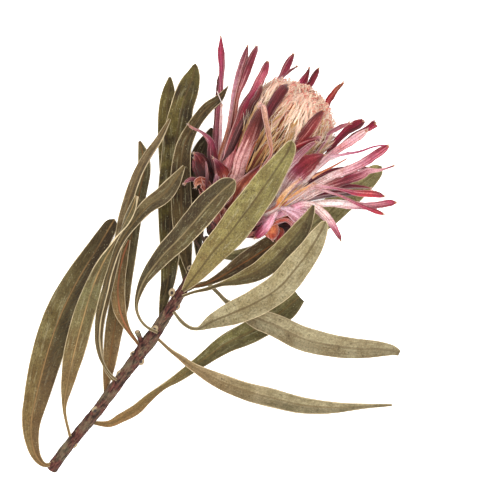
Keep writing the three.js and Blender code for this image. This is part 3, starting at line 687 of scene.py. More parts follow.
def leaf_finish(name, main, second, rib_colour, rib_share=0.5, painted_half_shade=0.0, stain=(104, 74, 42),
                dark_tip=0.0, tan_foot=0.0):
    """A dry leaf's face: mottled, stained and speckled, with fine side veins, a midrib in a groove of
    painted shade, a pale horny margin, and painted shade over one half."""
    material, tree = new_finish(name, {"Roughness": 0.68, "Specular IOR Level": 0.18})
    place = place_on(tree)
    sheet = add(tree, "ShaderNodeUVMap", uv_map="UVMap")
    to_margin, to_rib, side = [marked(tree, mark) for mark in ("margin", "rib", "side")]
    along = add(tree, "ShaderNodeSeparateXYZ", [("Vector", sheet)], "Y")

    # mottling, stains and pale patches drawn out along the blade, and painted shade over one half
    mottling = clouds(tree, place, 85, 5, 0.65)
    streaks = clouds(tree, scaled(tree, sheet, 14, 3.0, 1), 2.2, 5, 0.65)
    pale = clouds(tree, scaled(tree, sheet, 7, 5, 1), 1.7, 4, 0.6)
    half = times(tree, side, math.copysign(1, painted_half_shade))
    colour = laid(tree, pigment(*main), mottling, 0.40, 0.60, 1, pigment(*second))
    colour = laid(tree, colour, streaks, 0.50, 0.68, 0.5, pigment(*stain))
    colour = laid(tree, colour, pale, 0.54, 0.70, 0.5, pigment(204, 194, 150))
    # painted shade: one half of the blade darker, as if its fold turned it from the light
    colour = laid(tree, colour, half, -0.12, 0.30, abs(painted_half_shade), pigment(44, 32, 16))
    if tan_foot:
        colour = laid(tree, colour, along, 0.55, 0.10, tan_foot, pigment(156, 114, 70))
    if dark_tip:
        colour = laid(tree, colour, along, 0.60, 0.92, dark_tip, pigment(62, 46, 28))

    # fine grain, pale dots and dark blots
    fine = clouds(tree, place, 900, 4, 0.75)
    grain = laid(tree, grey(0.24), fine, 0.34, 0.66, 1, grey(0.78))
    colour = mixed(tree, 0.7, colour, grain, "OVERLAY")
    dots = add(tree, "ShaderNodeTexVoronoi", [("Vector", place), ("Scale", 560.0)], "Distance")
    dotted = stretched(tree, clouds(tree, place, 240, 2), 0.46, 0.56)
    dots = times(tree, stretched(tree, dots, 0.26, 0.12), dotted)
    colour = mixed(tree, times(tree, dots, 0.35), colour, pigment(206, 194, 150))
    blots = clouds(tree, place, 330, 5, 0.7)
    colour = laid(tree, colour, blots, 0.60, 0.69, 0.7, pigment(50, 37, 22))

    # side veins that run outwards and ahead, the midrib with painted shade in its groove, and the horny
    # margin
    ahead = times(tree, worked(tree, "ABSOLUTE", side), 3.5)
    bands = worked(tree, "SUBTRACT", times(tree, along, 34.0), ahead)
    wobble = times(tree, clouds(tree, place, 210, 2), 1.6)
    wave = worked(tree, "SINE", times(tree, plus(tree, bands, wobble), 6.283))
    veins = stretched(tree, wave, 0.86, 1.0)
    colour = mixed(tree, times(tree, veins, 0.16), colour, pigment(*rib_colour))
    # painted shade darkens the blade along both sides of the midrib, where its groove lies
    colour = laid(tree, colour, to_rib, 0.85, 0.30, 0.5, pigment(60, 46, 26))
    worn = stretched(tree, clouds(tree, place, 50, 3), 0.30, 0.52, 0.4 * rib_share, rib_share)
    ribbed = times(tree, stretched(tree, to_rib, 0.55, 0.22), worn)
    colour = mixed(tree, ribbed, colour, pigment(*rib_colour))
    rim = stretched(tree, plus(tree, to_margin, times(tree, fine, 0.3)), 0.58, 0.36)
    patchy = stretched(tree, clouds(tree, place, 60, 3), 0.35, 0.60, 0.5, 1)
    colour = mixed(tree, times(tree, rim, patchy), colour, pigment(242, 216, 170))

    relief = plus(tree, times(tree, fine, 0.6), times(tree, veins, 0.35))
    relief = plus(tree, relief, times(tree, streaks, 0.8))
    return painted(material, colour, relief, 0.0005, 0.9)


def leaf_section(seed, wave, fold):
    """How a leaf's blade is folded at its raised midrib, waved, turned down at its margins and
    uneven along its outline."""
    def section(side, share, width):
        open_blade = smooth_share(width, 0.002, 0.006)
        away = abs(side)
        sweep = noise.noise(Vector((seed, 6.5 * share, 2.0 if side > 0 else 0)))
        ripple = noise.noise(Vector((seed + 40, 17 * share, 3 * side)))
        lift = fold * width * away ** 1.25 * open_blade
        lift += wave * open_blade * width * (0.16 * sweep * away ** 2 + 0.05 * ripple * away ** 3)
        lift -= 0.035 * width * open_blade * smooth_share(away, 0.78, 1.0)
        lift += RIB_HEIGHT * open_blade * math.exp(-(side * width / 2 / RIB_WIDTH) ** 2)
        nibble = 0.016 * noise.noise(Vector((seed + 80, 26 * share, side)))
        nibble += 0.05 * noise.noise(Vector((seed + 60, 7 * share, 4.0 if side > 0 else 0))) * away ** 2
        return side * width / 2 * (1 - 0.035 * open_blade + nibble * open_blade), lift
    return section


def leaf_thickness(share, width):
    """The stalk is thicker than the blade."""
    stalk = 1 - smooth_share(width, 0.002, 0.005)
    return BLADE_THICKNESS + (STALK_THICKNESS - BLADE_THICKNESS) * stalk


leaf_underside = leaf_finish(
    "leaf_underside", (146, 120, 90), (112, 88, 64), (168, 132, 88), stain=(140, 96, 78))
for index, (name, rows) in enumerate(LEAVES.items()):
    *colours, rib_share, wave, painted_half_shade = LEAF_LOOKS[name]
    leaf = blade(
        "dry_" + name,
        seen_stations(rows, LEAF_STEPS, BLUNT.get(name, 0.0)),
        LEAF_COLUMNS,
        leaf_section(3.7 * index, wave, DEEP_FOLD.get(name, LEAF_FOLD)),
        leaf_thickness,
    )
    leaf.data.materials.append(leaf_finish(
        "face_of_" + name, *colours, rib_share, painted_half_shade,
        dark_tip=DARK_TIPS.get(name, 0.0), tan_foot=TAN_FEET.get(name, 0.0)))
    leaf.data.materials.append(leaf_underside)
    for vertex in leaf.data.vertices:
        vertex.co.z = max(vertex.co.z, LOWEST)
    smoothed(leaf, 60)
    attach(leaf, "root")
    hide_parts(name)


# ---------------------------------------------------------------- cup of the head
# The woody cup that carries the head: a turned body at the end of the stem, hidden under its
# scales, bracts and florets.
HEAD_BASE = seen(213, 232, 0.050)
HEAD_BEARING = math.radians(50) - STEM_BEARING
HEAD_TILT = math.radians(13)
HEAD_AXIS = Vector((
    math.cos(HEAD_TILT) * math.cos(HEAD_BEARING),
    math.cos(HEAD_TILT) * math.sin(HEAD_BEARING),
    math.sin(HEAD_TILT),
))
HEAD_RIGHT = Vector((math.sin(HEAD_BEARING), -math.cos(HEAD_BEARING), 0))
HEAD_FRONT = HEAD_RIGHT.cross(HEAD_AXIS)
CUP_PROFILE = [(-3.4, 2.6), (1, 5.6), (6, 11.5), (12, 16.5), (18, 18.5), (24, 17)]
FLORET_OUTLINE = [  # along the axis and radius, in mm
    (24.3, 15), (34, 17.5), (48, 20.5), (64, 24), (78, 26), (87, 25), (93.5, 20.5), (98, 13),
    (100.5, 5),
]
FLORET_LEAN = -6.5  # how far the florets' mass leans to the left in the picture, in mm


def on_head(along, radius, angle):
    """The place at a distance along the head's axis, a radius and an angle round it, in mm and
    radians. Angle 0 is to the right in the picture and a quarter turn is towards the eye."""
    return (HEAD_BASE + along * MM * HEAD_AXIS
            + radius * MM * (math.cos(angle) * HEAD_RIGHT + math.sin(angle) * HEAD_FRONT))


def read_head(place):
    """The distance along the axis, the radius and the angle of a place."""
    offset = (place - HEAD_BASE) / MM
    right, front = offset.dot(HEAD_RIGHT), offset.dot(HEAD_FRONT)
    return offset.dot(HEAD_AXIS), math.hypot(right, front), math.atan2(front, right)


def lean(along):
    """How far the florets' mass stands to the right of the axis at a distance along it."""
    share = min(max((along - 24) / 56, 0), 1)
    return FLORET_LEAN * MM * share * HEAD_RIGHT


def floret_radius(along):
    """The radius of the florets' mass at a distance along the axis."""
    for (start, first), (end, last) in zip(FLORET_OUTLINE, FLORET_OUTLINE[1:]):
        if start <= along <= end:
            return first + (last - first) * (along - start) / (end - start)
    return 0


def cup_body(name, profile, sides):
    """A body turned round the head's axis, drawn out ring by ring from a circle."""
    bpy.ops.mesh.primitive_circle_add(vertices=sides, radius=1)
    bpy.ops.object.mode_set(mode="EDIT")
    for _ring in profile[1:]:
        bpy.ops.mesh.extrude_region_move(TRANSFORM_OT_translate={"value": (0, 0, 1)})
    body = closed()
    body.name = name
    for vertex in body.data.vertices:
        along, radius = profile[round(vertex.co.z)]
        vertex.co = on_head(along, radius, math.atan2(vertex.co.y, vertex.co.x))
    bpy.ops.object.mode_set(mode="EDIT")
    bpy.ops.mesh.normals_make_consistent(inside=False)
    bpy.ops.object.mode_set(mode="OBJECT")
    return body


cup = cup_body("head_cup", CUP_PROFILE, 24)
finished_with(cup, "SUBSURF", levels=2, render_levels=2)
cup.data.materials.append(bark_finish())
smoothed(cup, 60)
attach(cup, "root")


# ---------------------------------------------------------------- florets
# The silky mass inside the bracts: slender florets that stand close together round the head and
# close over its top. Their shafts are dark and golden brown, their woolly ends cream and pink,
# curled at the tips.
SHAFTS = 460
PLUMES = 900
HAIRS = 1500
TIP_CURLS = 300
SHAFT_RADII = (0.42, 0.72)  # all radii and lengths in mm
PLUME_RADII = (0.40, 0.85)
HAIR_RADII = (0.10, 0.22)
CURL_RADII = (0.24, 0.50)
CURL_LENGTHS = (3.4, 6.6)
GOLDEN_ANGLE = math.pi * (3 - math.sqrt(5))
SHAFT_STOPS = [
    [(120, 70, 42), (196, 138, 84), (222, 162, 100), (242, 196, 138)],
    [(60, 28, 20), (92, 44, 30), (136, 66, 44), (206, 136, 96)],
    [(140, 92, 56), (222, 168, 110), (236, 180, 112), (250, 216, 168)],
]
# plume colours, darkest run first: plumes lying deeper between the locks take the darker runs as painted
# shade
PLUME_STOPS = [
    [(110, 50, 38), (170, 94, 72), (196, 108, 90), (184, 84, 80)],
    [(206, 140, 104), (228, 152, 122), (226, 138, 114), (214, 112, 102)],
    [(244, 206, 172), (246, 196, 162), (242, 180, 150), (234, 150, 132)],
    [(252, 232, 208), (253, 218, 188), (250, 206, 180), (244, 184, 164)],
]
HAIR_STOPS = [(196, 138, 88), (244, 212, 182), (252, 234, 220)]
CURL_STOPS = [
    [(236, 158, 132), (228, 136, 118), (206, 96, 92)],
    [(255, 232, 206), (253, 214, 184), (246, 186, 158)],
    [(255, 232, 206), (253, 214, 184), (246, 186, 158)],
]
# the dark core under the florets, from the cup up: painted shade deep among them
CORE_SHADE_STOPS = [(34, 18, 14), (60, 32, 22), (126, 70, 54)]


def blended(stops, share):
    """The colour at a share of a run of colours, as a surface colour."""
    place = min(max(share, 0), 0.9999) * (len(stops) - 1)
    low = int(place)
    part = place - low
    return pigment(*(a + (b - a) * part for a, b in zip(stops[low], stops[low + 1])))


def outline_place(share):
    """A place on the florets' outline by its share of the outline's length."""
    reaches = [0.0]
    for here, there in zip(FLORET_OUTLINE, FLORET_OUTLINE[1:]):
        reaches.append(reaches[-1] + math.dist(here, there))
    want = min(max(share, 0), 1) * reaches[-1]
    for k in range(len(reaches) - 1):
        if want <= reaches[k + 1]:
            part = (want - reaches[k]) / (reaches[k + 1] - reaches[k])
            return [a + (b - a) * part for a, b in zip(FLORET_OUTLINE[k], FLORET_OUTLINE[k + 1])]
    return list(FLORET_OUTLINE[-1])


def strand_model(sides, rings):
    """One strand, one unit long and one in radius: a ring drawn out and closed to a point."""
    bpy.ops.mesh.primitive_circle_add(vertices=sides, radius=1)
    bpy.ops.object.mode_set(mode="EDIT")
    bpy.ops.mesh.select_all(action="SELECT")
    for _ring in range(rings):
        bpy.ops.mesh.extrude_region_move(TRANSFORM_OT_translate={"value": (0, 0, 1 / rings)})
    bpy.ops.mesh.merge(type="CENTER")
    return closed()


def strands(name, model, routes):
    """Copies of a strand laid along routes. A route gives the places of its line, the strand's
    radius by share, its colours and its lightness."""
    pieces = []
    for places, radius_at, stops, light in routes:
        mesh = model.data.copy()
        tint = mesh.color_attributes.new("tint", "FLOAT_COLOR", "POINT")
        last = len(places) - 1
        aside = (places[-1] - places[0]).orthogonal()
        for vertex in mesh.vertices:
            share = min(max(vertex.co.z, 0), 1)
            at = min(int(share * last), last - 1)
            place = places[at].lerp(places[at + 1], share * last - at)
            ahead = (places[min(at + 2, last)] - places[at]).normalized()
            across = (aside - aside.dot(ahead) * ahead).normalized()
            radius = radius_at(share)
            offset = vertex.co.x * across + vertex.co.y * ahead.cross(across)
            vertex.co = place + radius * offset
            colour = blended(stops, share)
            tint.data[vertex.index].color = [value * light for value in colour[:3]] + [1]
        piece = bpy.data.objects.new(name, mesh)
        bpy.context.scene.collection.objects.link(piece)
        pieces.append(piece)
    return joined(name, pieces)


def silk_finish(name, streak, sheen):
    """Silky threads in the colours marked on the strand, streaked along."""
    material, tree = new_finish(name, {
        "Roughness": 0.72,
        "Specular IOR Level": 0.15,
        "Subsurface Weight": 0.2,
        "Subsurface Radius": (1.0, 0.5, 0.35),
        "Subsurface Scale": 0.002,
        "Sheen Weight": sheen,
        "Sheen Roughness": 0.45,
    })
    threads = clouds(tree, scaled(tree, place_on(tree), 0.12, 1, 1), 3200, 2, 0.6)
    tone = laid(tree, grey(0.32), threads, 0.35, 0.65, 1, grey(0.66))
    colour = mixed(tree, streak, marked(tree, "tint", "Color"), tone, "OVERLAY")
    return painted(material, colour, threads, 0.0004, 0.8)


def on_florets(share, depth, angle, ahead=0):
    """A place on the florets' mass by its share of the outline, a depth out of it and an angle."""
    along, radius = outline_place(share)
    return on_head(along + ahead, max(radius + depth, 0.3), angle) + lean(along)


def floret_line(share, reach, angle, depths, twist, count):
    """Places along a strand that lies on the florets' mass and ends at a share of its outline."""
    places = []
    for k in range(count):
        part = k / (count - 1)
        depth = depths[0] + (depths[1] - depths[0]) * part ** 1.5
        places.append(on_florets(share - reach * (1 - part), depth, angle + twist * part ** 2, 1.5 * part))
    return places


def taper(size, shape):
    """A strand's radius by share: its size times a shape."""
    return lambda share: size * shape(share)


def grown(name, model, routes, finish):
    """Strands laid along their routes, with their finish."""
    piece = strands(name, model, routes)
    piece.data.materials.append(finish)
    return piece


chance = random.Random(11)
tuft_model = strand_model(5, 7)
hair_model = strand_model(3, 5)

routes = []
for index in range(SHAFTS):
    share = 0.30 + 0.66 * math.sqrt((index + 0.5) / SHAFTS)
    angle = index * GOLDEN_ANGLE + chance.uniform(-0.08, 0.08)
    depths = chance.uniform(-4.5, -2.5), chance.uniform(-1.6, 0.2)
    places = floret_line(share, chance.uniform(0.30, 0.44), angle, depths, chance.uniform(-0.15, 0.15), 8)
    radius = taper(chance.uniform(*SHAFT_RADII) * MM, lambda t: (0.8 + 0.5 * t) * (1 - 0.7 * t ** 6))
    routes.append((places, radius, SHAFT_STOPS[index % 3], chance.uniform(0.7, 1.15)))
shafts = grown("floret_shafts", tuft_model, routes, silk_finish("floret_shaft", 0.7, 0.05))
smoothed(shafts, 70)

routes = []
for index in range(PLUMES):
    low = 0.54 + 0.32 * math.sqrt((index + 0.5) / PLUMES) + chance.uniform(-0.03, 0.03)
    share = min(low + chance.uniform(0.12, 0.22), 1)
    angle = index * GOLDEN_ANGLE + chance.uniform(-0.10, 0.10)
    lock = noise.noise(Vector((3.6 * low, 2.6 * math.cos(angle), 2.6 * math.sin(angle))))
    depths = -2.4, 1.2 + 7 * lock + chance.uniform(-0.8, 0.9)
    places = floret_line(share, share - low, angle, depths, 0.3 * lock + chance.uniform(-0.08, 0.08), 8)
    radius = taper(
        chance.uniform(*PLUME_RADII) * MM,
        lambda t: (0.25 + 0.9 * math.sin(math.pi * min(t + 0.05, 1)) ** 0.8) * (1 - 0.6 * t ** 2),
    )
    # Plumes deeper between the locks take darker colours and less lightness, and all are darker lower on
    # the mass: painted shade among the florets, over their own uneven colour.
    tone = min(max(int((lock + 0.5 + chance.uniform(-0.2, 0.2)) * 4), 0), 3)
    light = (1.34 + 0.7 * lock) * (0.12 + 0.94 * share) * chance.uniform(0.86, 1.14)
    routes.append((places, radius, PLUME_STOPS[tone], light))
plumes = grown("floret_plumes", tuft_model, routes, silk_finish("woolly_plume", 0.9, 0.1))
smoothed(plumes, 70)

routes = []
for index in range(HAIRS):
    share = 0.40 + 0.60 * math.sqrt((index + 0.5) / HAIRS)
    angle = index * GOLDEN_ANGLE + chance.uniform(-0.3, 0.3)
    depths = chance.uniform(-1.0, 0.6), chance.uniform(0.4, 4.4)
    places = floret_line(share, chance.uniform(0.05, 0.16), angle, depths, chance.uniform(-0.22, 0.22), 6)
    radius = taper(chance.uniform(*HAIR_RADII) * MM, lambda t: 1 - 0.7 * t)
    clump = noise.noise(Vector((9 * share, 1.6 * math.cos(angle), 1.6 * math.sin(angle))))
    routes.append((places, radius, HAIR_STOPS, (1.1 + 0.8 * clump) * chance.uniform(0.85, 1.15)))
hairs = grown("floret_hairs", hair_model, routes, silk_finish("silky_hair", 0.4, 0.15))

routes = []
for index in range(TIP_CURLS):
    share = 0.74 + 0.26 * math.sqrt((index + 0.5) / TIP_CURLS)
    angle = index * GOLDEN_ANGLE + 1.0
    start = on_florets(share, 0, angle)
    out = (on_florets(share, 6 * (1.1 - share), angle, 6 * share - 3) - start).normalized()
    side = out.orthogonal().normalized()
    side.rotate(Matrix.Rotation(chance.uniform(0, 2 * math.pi), 3, out))
    reach = 0.6 * chance.uniform(*CURL_LENGTHS) * MM
    bend_end = chance.uniform(2.2, 4.4)
    turns = [bend_end * k / 7 for k in range(8)]
    places = [start + reach * (math.sin(turn) * out + (1 - math.cos(turn)) * 0.5 * side) for turn in turns]
    radius = taper(chance.uniform(*CURL_RADII) * MM, lambda t: 1 - 0.5 * t)
    routes.append((places, radius, CURL_STOPS[index % 3], chance.uniform(1.0, 1.3)))
curls = grown("floret_tips", tuft_model, routes, silk_finish("curled_tip", 0.5, 0.1))

# A dark body just inside the florets' outline stands in for the shade deep among them: painted shade,
# darkest at the cup and lighter towards the top.
core_profile = [(22, 12)] + [(along, radius - 4.5) for along, radius in FLORET_OUTLINE[:-1]] + [(99, 2)]
core = cup_body("floret_shade_core", core_profile, 24)
core_shade = core.data.color_attributes.new("tint", "FLOAT_COLOR", "POINT")
for vertex in core.data.vertices:
    along = read_head(vertex.co)[0]
    vertex.co += lean(along)
    core_shade.data[vertex.index].color = blended(CORE_SHADE_STOPS, (along - 24) / 80)
core.data.materials.append(silk_finish("floret_shade", 0.8, 0.05))
smoothed(core, 60)
for piece in (shafts, plumes, hairs, curls, core):
    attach(piece, "root")
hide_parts("florets")
bpy.data.objects.remove(tuft_model)


# ---------------------------------------------------------------- bracts
# Long pointed papery bracts that stand round the florets in three rows and flare outwards. Pale
# pink at the foot, crimson or maroon above, rolled in along their margins, many with a dry
# cream tuft at the point. Short reddish-brown scales cover the cup below them.
BRACT_STEPS = 36
BRACT_COLUMNS = 8
BRACT_THICKNESS = 0.00045
PALE, BLUSH, ROSE, DUSTY = (250, 224, 218), (228, 180, 188), (176, 78, 106), (176, 106, 120)
CRIMSON, SCARLET, MAROON, WINE = (156, 32, 70), (184, 40, 50), (122, 30, 50), (84, 22, 24)
PEACH, RUST, WHITE, BRIGHT = (224, 166, 130), (184, 90, 52), (255, 242, 238), (254, 184, 206)
BRICK, GOLD = (182, 80, 62), (236, 170, 84)


# Each bract that shows: its places from foot to tip (across, down, seen width), its heights in mm
# at foot and tip, its roll there in degrees, its colours from foot to tip, and its curl: how far
# its margins are rolled towards the eye (plus) or away from it (minus), in radians.
SHOWN = [
    # at the left of the head, from the back to the front
    ([(217, 162, 5), (216, 140, 6), (217, 120, 5.5), (218.2, 97, 4.5), (219, 82, 3.5), (219.6, 74.5, 1)],
     (42, 52), (0, 20), [ROSE, MAROON, MAROON, WINE], -1.0),
    ([(217.5, 160, 6), (218, 140, 6.5), (219, 116, 6), (220.6, 96, 4.5), (221.5, 78, 4), (222, 66, 5.5),
      (221.3, 52, 6), (221, 42, 3), (221, 36.5, 0.8)],
     (46, 62), (0, 10), [DUSTY, (136, 58, 72), (150, 60, 82), (152, 42, 82), (166, 46, 86), CRIMSON], -0.8),
    ([(219.2, 158, 3.5), (220.3, 140, 2.8), (221, 122, 2.6), (221.5, 106, 1.2)],
     (50, 60), (0, 0), [PALE, BLUSH, PALE], 0.6),
    ([(221, 156, 7), (224.5, 144, 5.5), (228.5, 129, 4.5), (231.3, 112, 4.5), (234.2, 93, 5.5),
      (238.8, 73, 6.2), (244.2, 56.4, 6), (247.6, 45.8, 1.2)],
     (56, 84), (0, -20), [(166, 92, 62), (166, 92, 62), (196, 136, 146), (204, 140, 156),
      DUSTY, MAROON], -0.9),
    ([(224, 160, 7), (228.5, 144, 6), (232.5, 129, 5.5), (234.8, 113, 4.5), (237.8, 95, 4.6),
      (243, 80.5, 7), (248.3, 66, 7.4), (252.8, 55, 6), (255.6, 49, 4.8), (256.6, 46, 2.4)],
     (60, 92), (0, 15), [ROSE, MAROON, (150, 76, 48), (176, 92, 100), MAROON, DUSTY], 0.9),
    ([(243, 124, 7), (248, 112, 6.5), (252.5, 103, 6), (257, 96.5, 5.5), (260.5, 88, 3.5),
      (261.5, 85, 1)],
     (74, 98), (0, 0), [WINE, (120, 40, 42), (136, 50, 52)], -0.8),
    ([(228, 168, 13), (231, 150, 14), (236, 133, 12), (240, 121, 9.5), (243, 110, 9), (248, 101, 8.5),
      (254, 92, 8), (259, 82, 8), (264, 72, 7), (266.2, 66, 5.2), (267.6, 61.6, 2.2)],
     (66, 100), (-15, 10), [(216, 130, 132), (188, 84, 84), (150, 48, 50), CRIMSON, (214, 110, 124),
      CRIMSON], -0.9),
    ([(237, 176, 12), (241, 162, 14), (246.5, 148, 14), (252, 135, 13), (257, 122, 11), (260.5, 113, 8),
      (262, 107, 2.5)],
     (78, 104), (10, 0), [(236, 176, 168), (236, 174, 170), (150, 66, 60), (96, 28, 20),
      (122, 44, 34)], -0.7),
    # in front of the florets
    ([(269.6, 157, 2.2), (270.5, 145, 3.2), (268.6, 135, 4.5), (265.8, 123, 5), (263.5, 112, 6),
      (261.5, 105.5, 6.5), (259.8, 104, 4.5), (258.6, 108, 2.5)],
     (112, 116), (0, 60), [(160, 84, 54), (184, 136, 104), (192, 146, 118), (208, 168, 156)], 0.8),
    ([(256, 134, 6), (263, 122, 8), (267.7, 116, 8), (271, 108, 9), (276.3, 99.5, 9.5), (282, 91, 9),
      (286.5, 86.5, 4.5), (288, 86, 1.5)],
     (86, 109), (10, -5), [(164, 84, 78), (126, 42, 42), (112, 28, 46), (112, 30, 36), (84, 22, 20)], -0.7),
    ([(293, 151, 6), (299, 141, 8), (305, 134, 9.5), (311.5, 125.5, 9.5), (318.5, 116.5, 6.5),
      (323.7, 110.3, 1.2)],
     (91, 111), (-10, 0), [(164, 84, 78), (132, 44, 44), (136, 50, 50), (104, 38, 30)], -0.7),
    ([(288, 154, 6), (297, 147.5, 7.5), (305, 143.5, 7.5), (313, 140.5, 5.5), (319, 138.5, 4.5),
      (320.5, 139, 1.5)],
     (90, 107), (15, 0), [(170, 60, 56), (150, 30, 40), (120, 30, 40), BLUSH], -0.9),
    ([(284, 172, 6), (290, 165, 6.5), (296, 159, 6.5), (303, 151.5, 5.5), (311, 145, 4), (316, 142, 1.5)],
     (88, 105), (0, 20), [PALE, BLUSH, DUSTY, DUSTY], -0.8),
    ([(277, 205, 10), (283, 193, 13), (289, 182, 16), (296, 173.5, 18), (304, 166.5, 17),
      (311, 161.5, 13), (318, 157.5, 7), (324.5, 154.5, 0.8)],
     (80, 107), (-12, 5), [PALE, PALE, PALE, ROSE, (156, 48, 58), (150, 42, 52), MAROON], -0.5),
    # behind the top of the florets
    ([(276, 88, 4), (281, 77, 5), (285, 70, 6.5), (289, 62, 6), (292.5, 56, 3), (293.5, 54, 1)],
     (58, 72), (0, 10), [BLUSH, (160, 74, 92), (136, 36, 70), (150, 64, 66)], -0.8),
    ([(279, 82, 2.5), (286, 74, 2.8), (291, 70, 2.2), (297, 66.5, 0.7)],
     (60, 66), (0, 0), [BLUSH, DUSTY, WINE], -0.9),
    ([(295, 96, 6), (299.5, 87, 7), (303, 81, 7), (306.5, 75, 4.5), (309.5, 67.5, 0.8)],
     (48, 58), (0, -20), [BRIGHT, BRIGHT, (226, 96, 140), CRIMSON, MAROON, WINE], -0.8),
    ([(302, 98, 5), (307.5, 88, 5.5), (311.5, 82, 5.6), (315, 75.5, 5.4), (317.5, 70.5, 3.5),
      (318.5, 68, 1)],
     (44, 50), (0, 10), [CRIMSON, (150, 24, 60), (130, 24, 50), MAROON, WINE], -0.8),
    ([(323, 112, 4), (328.2, 101, 5.5), (332.5, 95, 5.5), (337, 88.8, 4), (340.5, 85.3, 3.2),
      (343.3, 83.3, 1.6)],
     (46, 52), (0, 10), [(204, 56, 110), (184, 28, 56), (166, 26, 28), (158, 80, 52), (140, 98, 70)], -0.8),
    # at the right of the head, from the top down
    ([(320, 139, 2), (328, 134, 3), (336, 129, 4), (343, 125, 4), (349.5, 122.8, 1)],
     (80, 88), (0, 30), [DUSTY, DUSTY, DUSTY], 1.0),
    ([(318, 166, 4), (330.5, 150, 4.5), (336, 142, 5.5), (343, 134.5, 6.5), (350.4, 128.4, 8),
      (357, 124.8, 8.5), (363.5, 121, 4)],
     (66, 84), (0, 15), [BLUSH, MAROON, CRIMSON, MAROON, MAROON], -0.6),
    ([(350, 139, 5), (357, 134, 5), (364, 130.5, 5), (369.5, 127.5, 5.5), (373.5, 124.5, 7),
      (375.5, 123.4, 6)],
     (58, 66), (0, 0), [MAROON, MAROON, CRIMSON, CRIMSON], -0.7),
    ([(303, 182, 5), (316, 168.5, 5), (327, 158, 5.5), (339, 149, 6.5), (350, 141.5, 7), (360, 135, 6.5),
      (366.5, 130.5, 3)],
     (76, 98), (0, -10), [PALE, PALE, BLUSH, (214, 140, 146), BLUSH, PALE], -0.8),
    ([(296, 198, 7), (308, 189, 7), (320, 182, 7), (332, 176, 7), (344, 171.5, 7), (354, 167.5, 7.5),
      (364, 162.5, 7.5), (374, 156, 7.5), (383, 150, 6.5), (388.5, 145.8, 2.5)],
     (70, 84), (0, 10), [PALE, PALE, PALE, BLUSH, (204, 134, 150), ROSE, CRIMSON], -0.7),
    ([(300, 201, 6), (315, 192, 7), (327, 186.5, 8), (339, 182.5, 8), (351, 178, 8.5), (362, 174, 8),
      (369, 170.5, 5), (380, 170, 2.2), (393.5, 165.8, 1.6)],
     (66, 88), (0, -15), [PALE, PALE, (150, 66, 72), MAROON, DUSTY, BLUSH, MAROON], -1.0),
    ([(292, 196, 6), (304, 190, 5.5), (316, 186.5, 4), (327, 187, 2.6), (336, 188.5, 2),
      (345, 190.2, 2.8), (355, 192.5, 4.8), (367, 193.5, 6.2), (378, 194.5, 5.2), (384, 196.5, 1.8)],
     (80, 88), (0, 0), [PALE, PALE, BLUSH, ROSE, CRIMSON, SCARLET, CRIMSON], -0.6),
    ([(290, 212, 5), (303, 207.5, 6), (313, 205, 6.5), (323, 203.3, 6.5), (336, 203.3, 7),
      (351, 205, 7.5), (365, 206, 6.5), (377, 205, 6), (388, 203.2, 6), (394, 202.3, 4.5),
      (396, 202.5, 2)],
     (66, 70), (0, 0), [PALE, WHITE, WHITE, WHITE, BLUSH, DUSTY, CRIMSON], -0.6),
    ([(310, 188, 3), (322, 190, 2.4), (332, 193, 2), (340, 195.6, 2), (350.4, 200.4, 2.4),
      (360, 205.1, 3), (369.6, 209, 3.8), (377.2, 211.8, 4.2), (383.5, 214.2, 2)],
     (76, 72), (0, 0), [BLUSH, BLUSH, ROSE, ROSE, CRIMSON, SCARLET], -0.8),
    ([(298, 206, 7), (309, 205, 7.5), (316, 208, 7.5), (321, 212, 7.8), (327, 218, 7.5),
      (332, 224.5, 6.5), (336, 231, 5), (339.5, 237.5, 3.5), (341, 240.5, 0.8)],
     (72, 67), (0, 15), [BRIGHT, PALE, PALE, PALE, BLUSH, ROSE, MAROON], -0.7),
    ([(274.5, 207.5, 2), (280, 199.5, 4.6), (286.5, 191.5, 4), (294, 184, 2.4), (300, 179, 0.8)],
     (86, 96), (0, 0), [RUST, GOLD, (246, 204, 156), (240, 196, 156), PEACH], 0.6),
    ([(288, 199, 1.6), (296, 193.5, 2.6), (305, 188.5, 2.4), (314, 183, 0.8)],
     (86, 96), (0, 0), [GOLD, (238, 184, 112), PEACH], 0.6),
    # at the foot of the head, towards the eye
    ([(274, 206, 3), (282, 208.5, 4), (288, 210.5, 8), (294, 213, 12), (299.5, 216, 15),
      (305, 218.5, 14), (309, 221, 6)],
     (74, 70), (-10, 10), [PALE, (255, 208, 224), (255, 214, 228), (255, 196, 212), (255, 210, 222),
      PALE], -0.7),
    ([(270.5, 226, 3), (275, 219, 6), (281, 215.3, 8.5), (287.5, 217.5, 8), (293, 222.5, 7),
      (298, 228, 4)],
     (66, 60), (0, 0), [WINE, (150, 66, 34), (198, 118, 56), (160, 62, 40), MAROON, WINE], -0.9),
    ([(269.5, 225.5, 2), (275.5, 222.8, 3.2), (281.5, 220.4, 3.6), (287.5, 220.4, 3.8),
      (291.8, 223.6, 4.4), (295, 229, 4.4), (297, 235, 2)],
     (70, 64), (0, 0), [(220, 120, 88), (206, 104, 80), (196, 84, 64), (232, 150, 150), (238, 176, 176),
      BLUSH], 0.9),
    ([(273, 225.5, 5), (279, 226, 9), (286, 227, 10), (292, 228, 7)],
     (54, 52), (0, 0), [WINE, (60, 16, 12), (60, 16, 12), WINE], -0.4),
    ([(274, 211, 6), (270, 219, 8), (266, 226, 9), (261, 231.5, 9), (257.5, 235.5, 8), (255.5, 238, 4)],
     (76, 70), (0, 0), [PALE, BRIGHT, BRIGHT, ROSE, CRIMSON], -1.0),
    ([(271, 222, 8), (271.5, 228, 13), (272, 234, 13), (272.5, 238.5, 9), (272.5, 240.5, 3)],
     (70, 64), (0, 0), [(160, 70, 40), (228, 134, 80), (218, 122, 74), (190, 78, 54),
      (246, 214, 196)], -0.9),
    ([(280, 230, 6), (278.5, 237, 6.5), (277, 243, 2)],
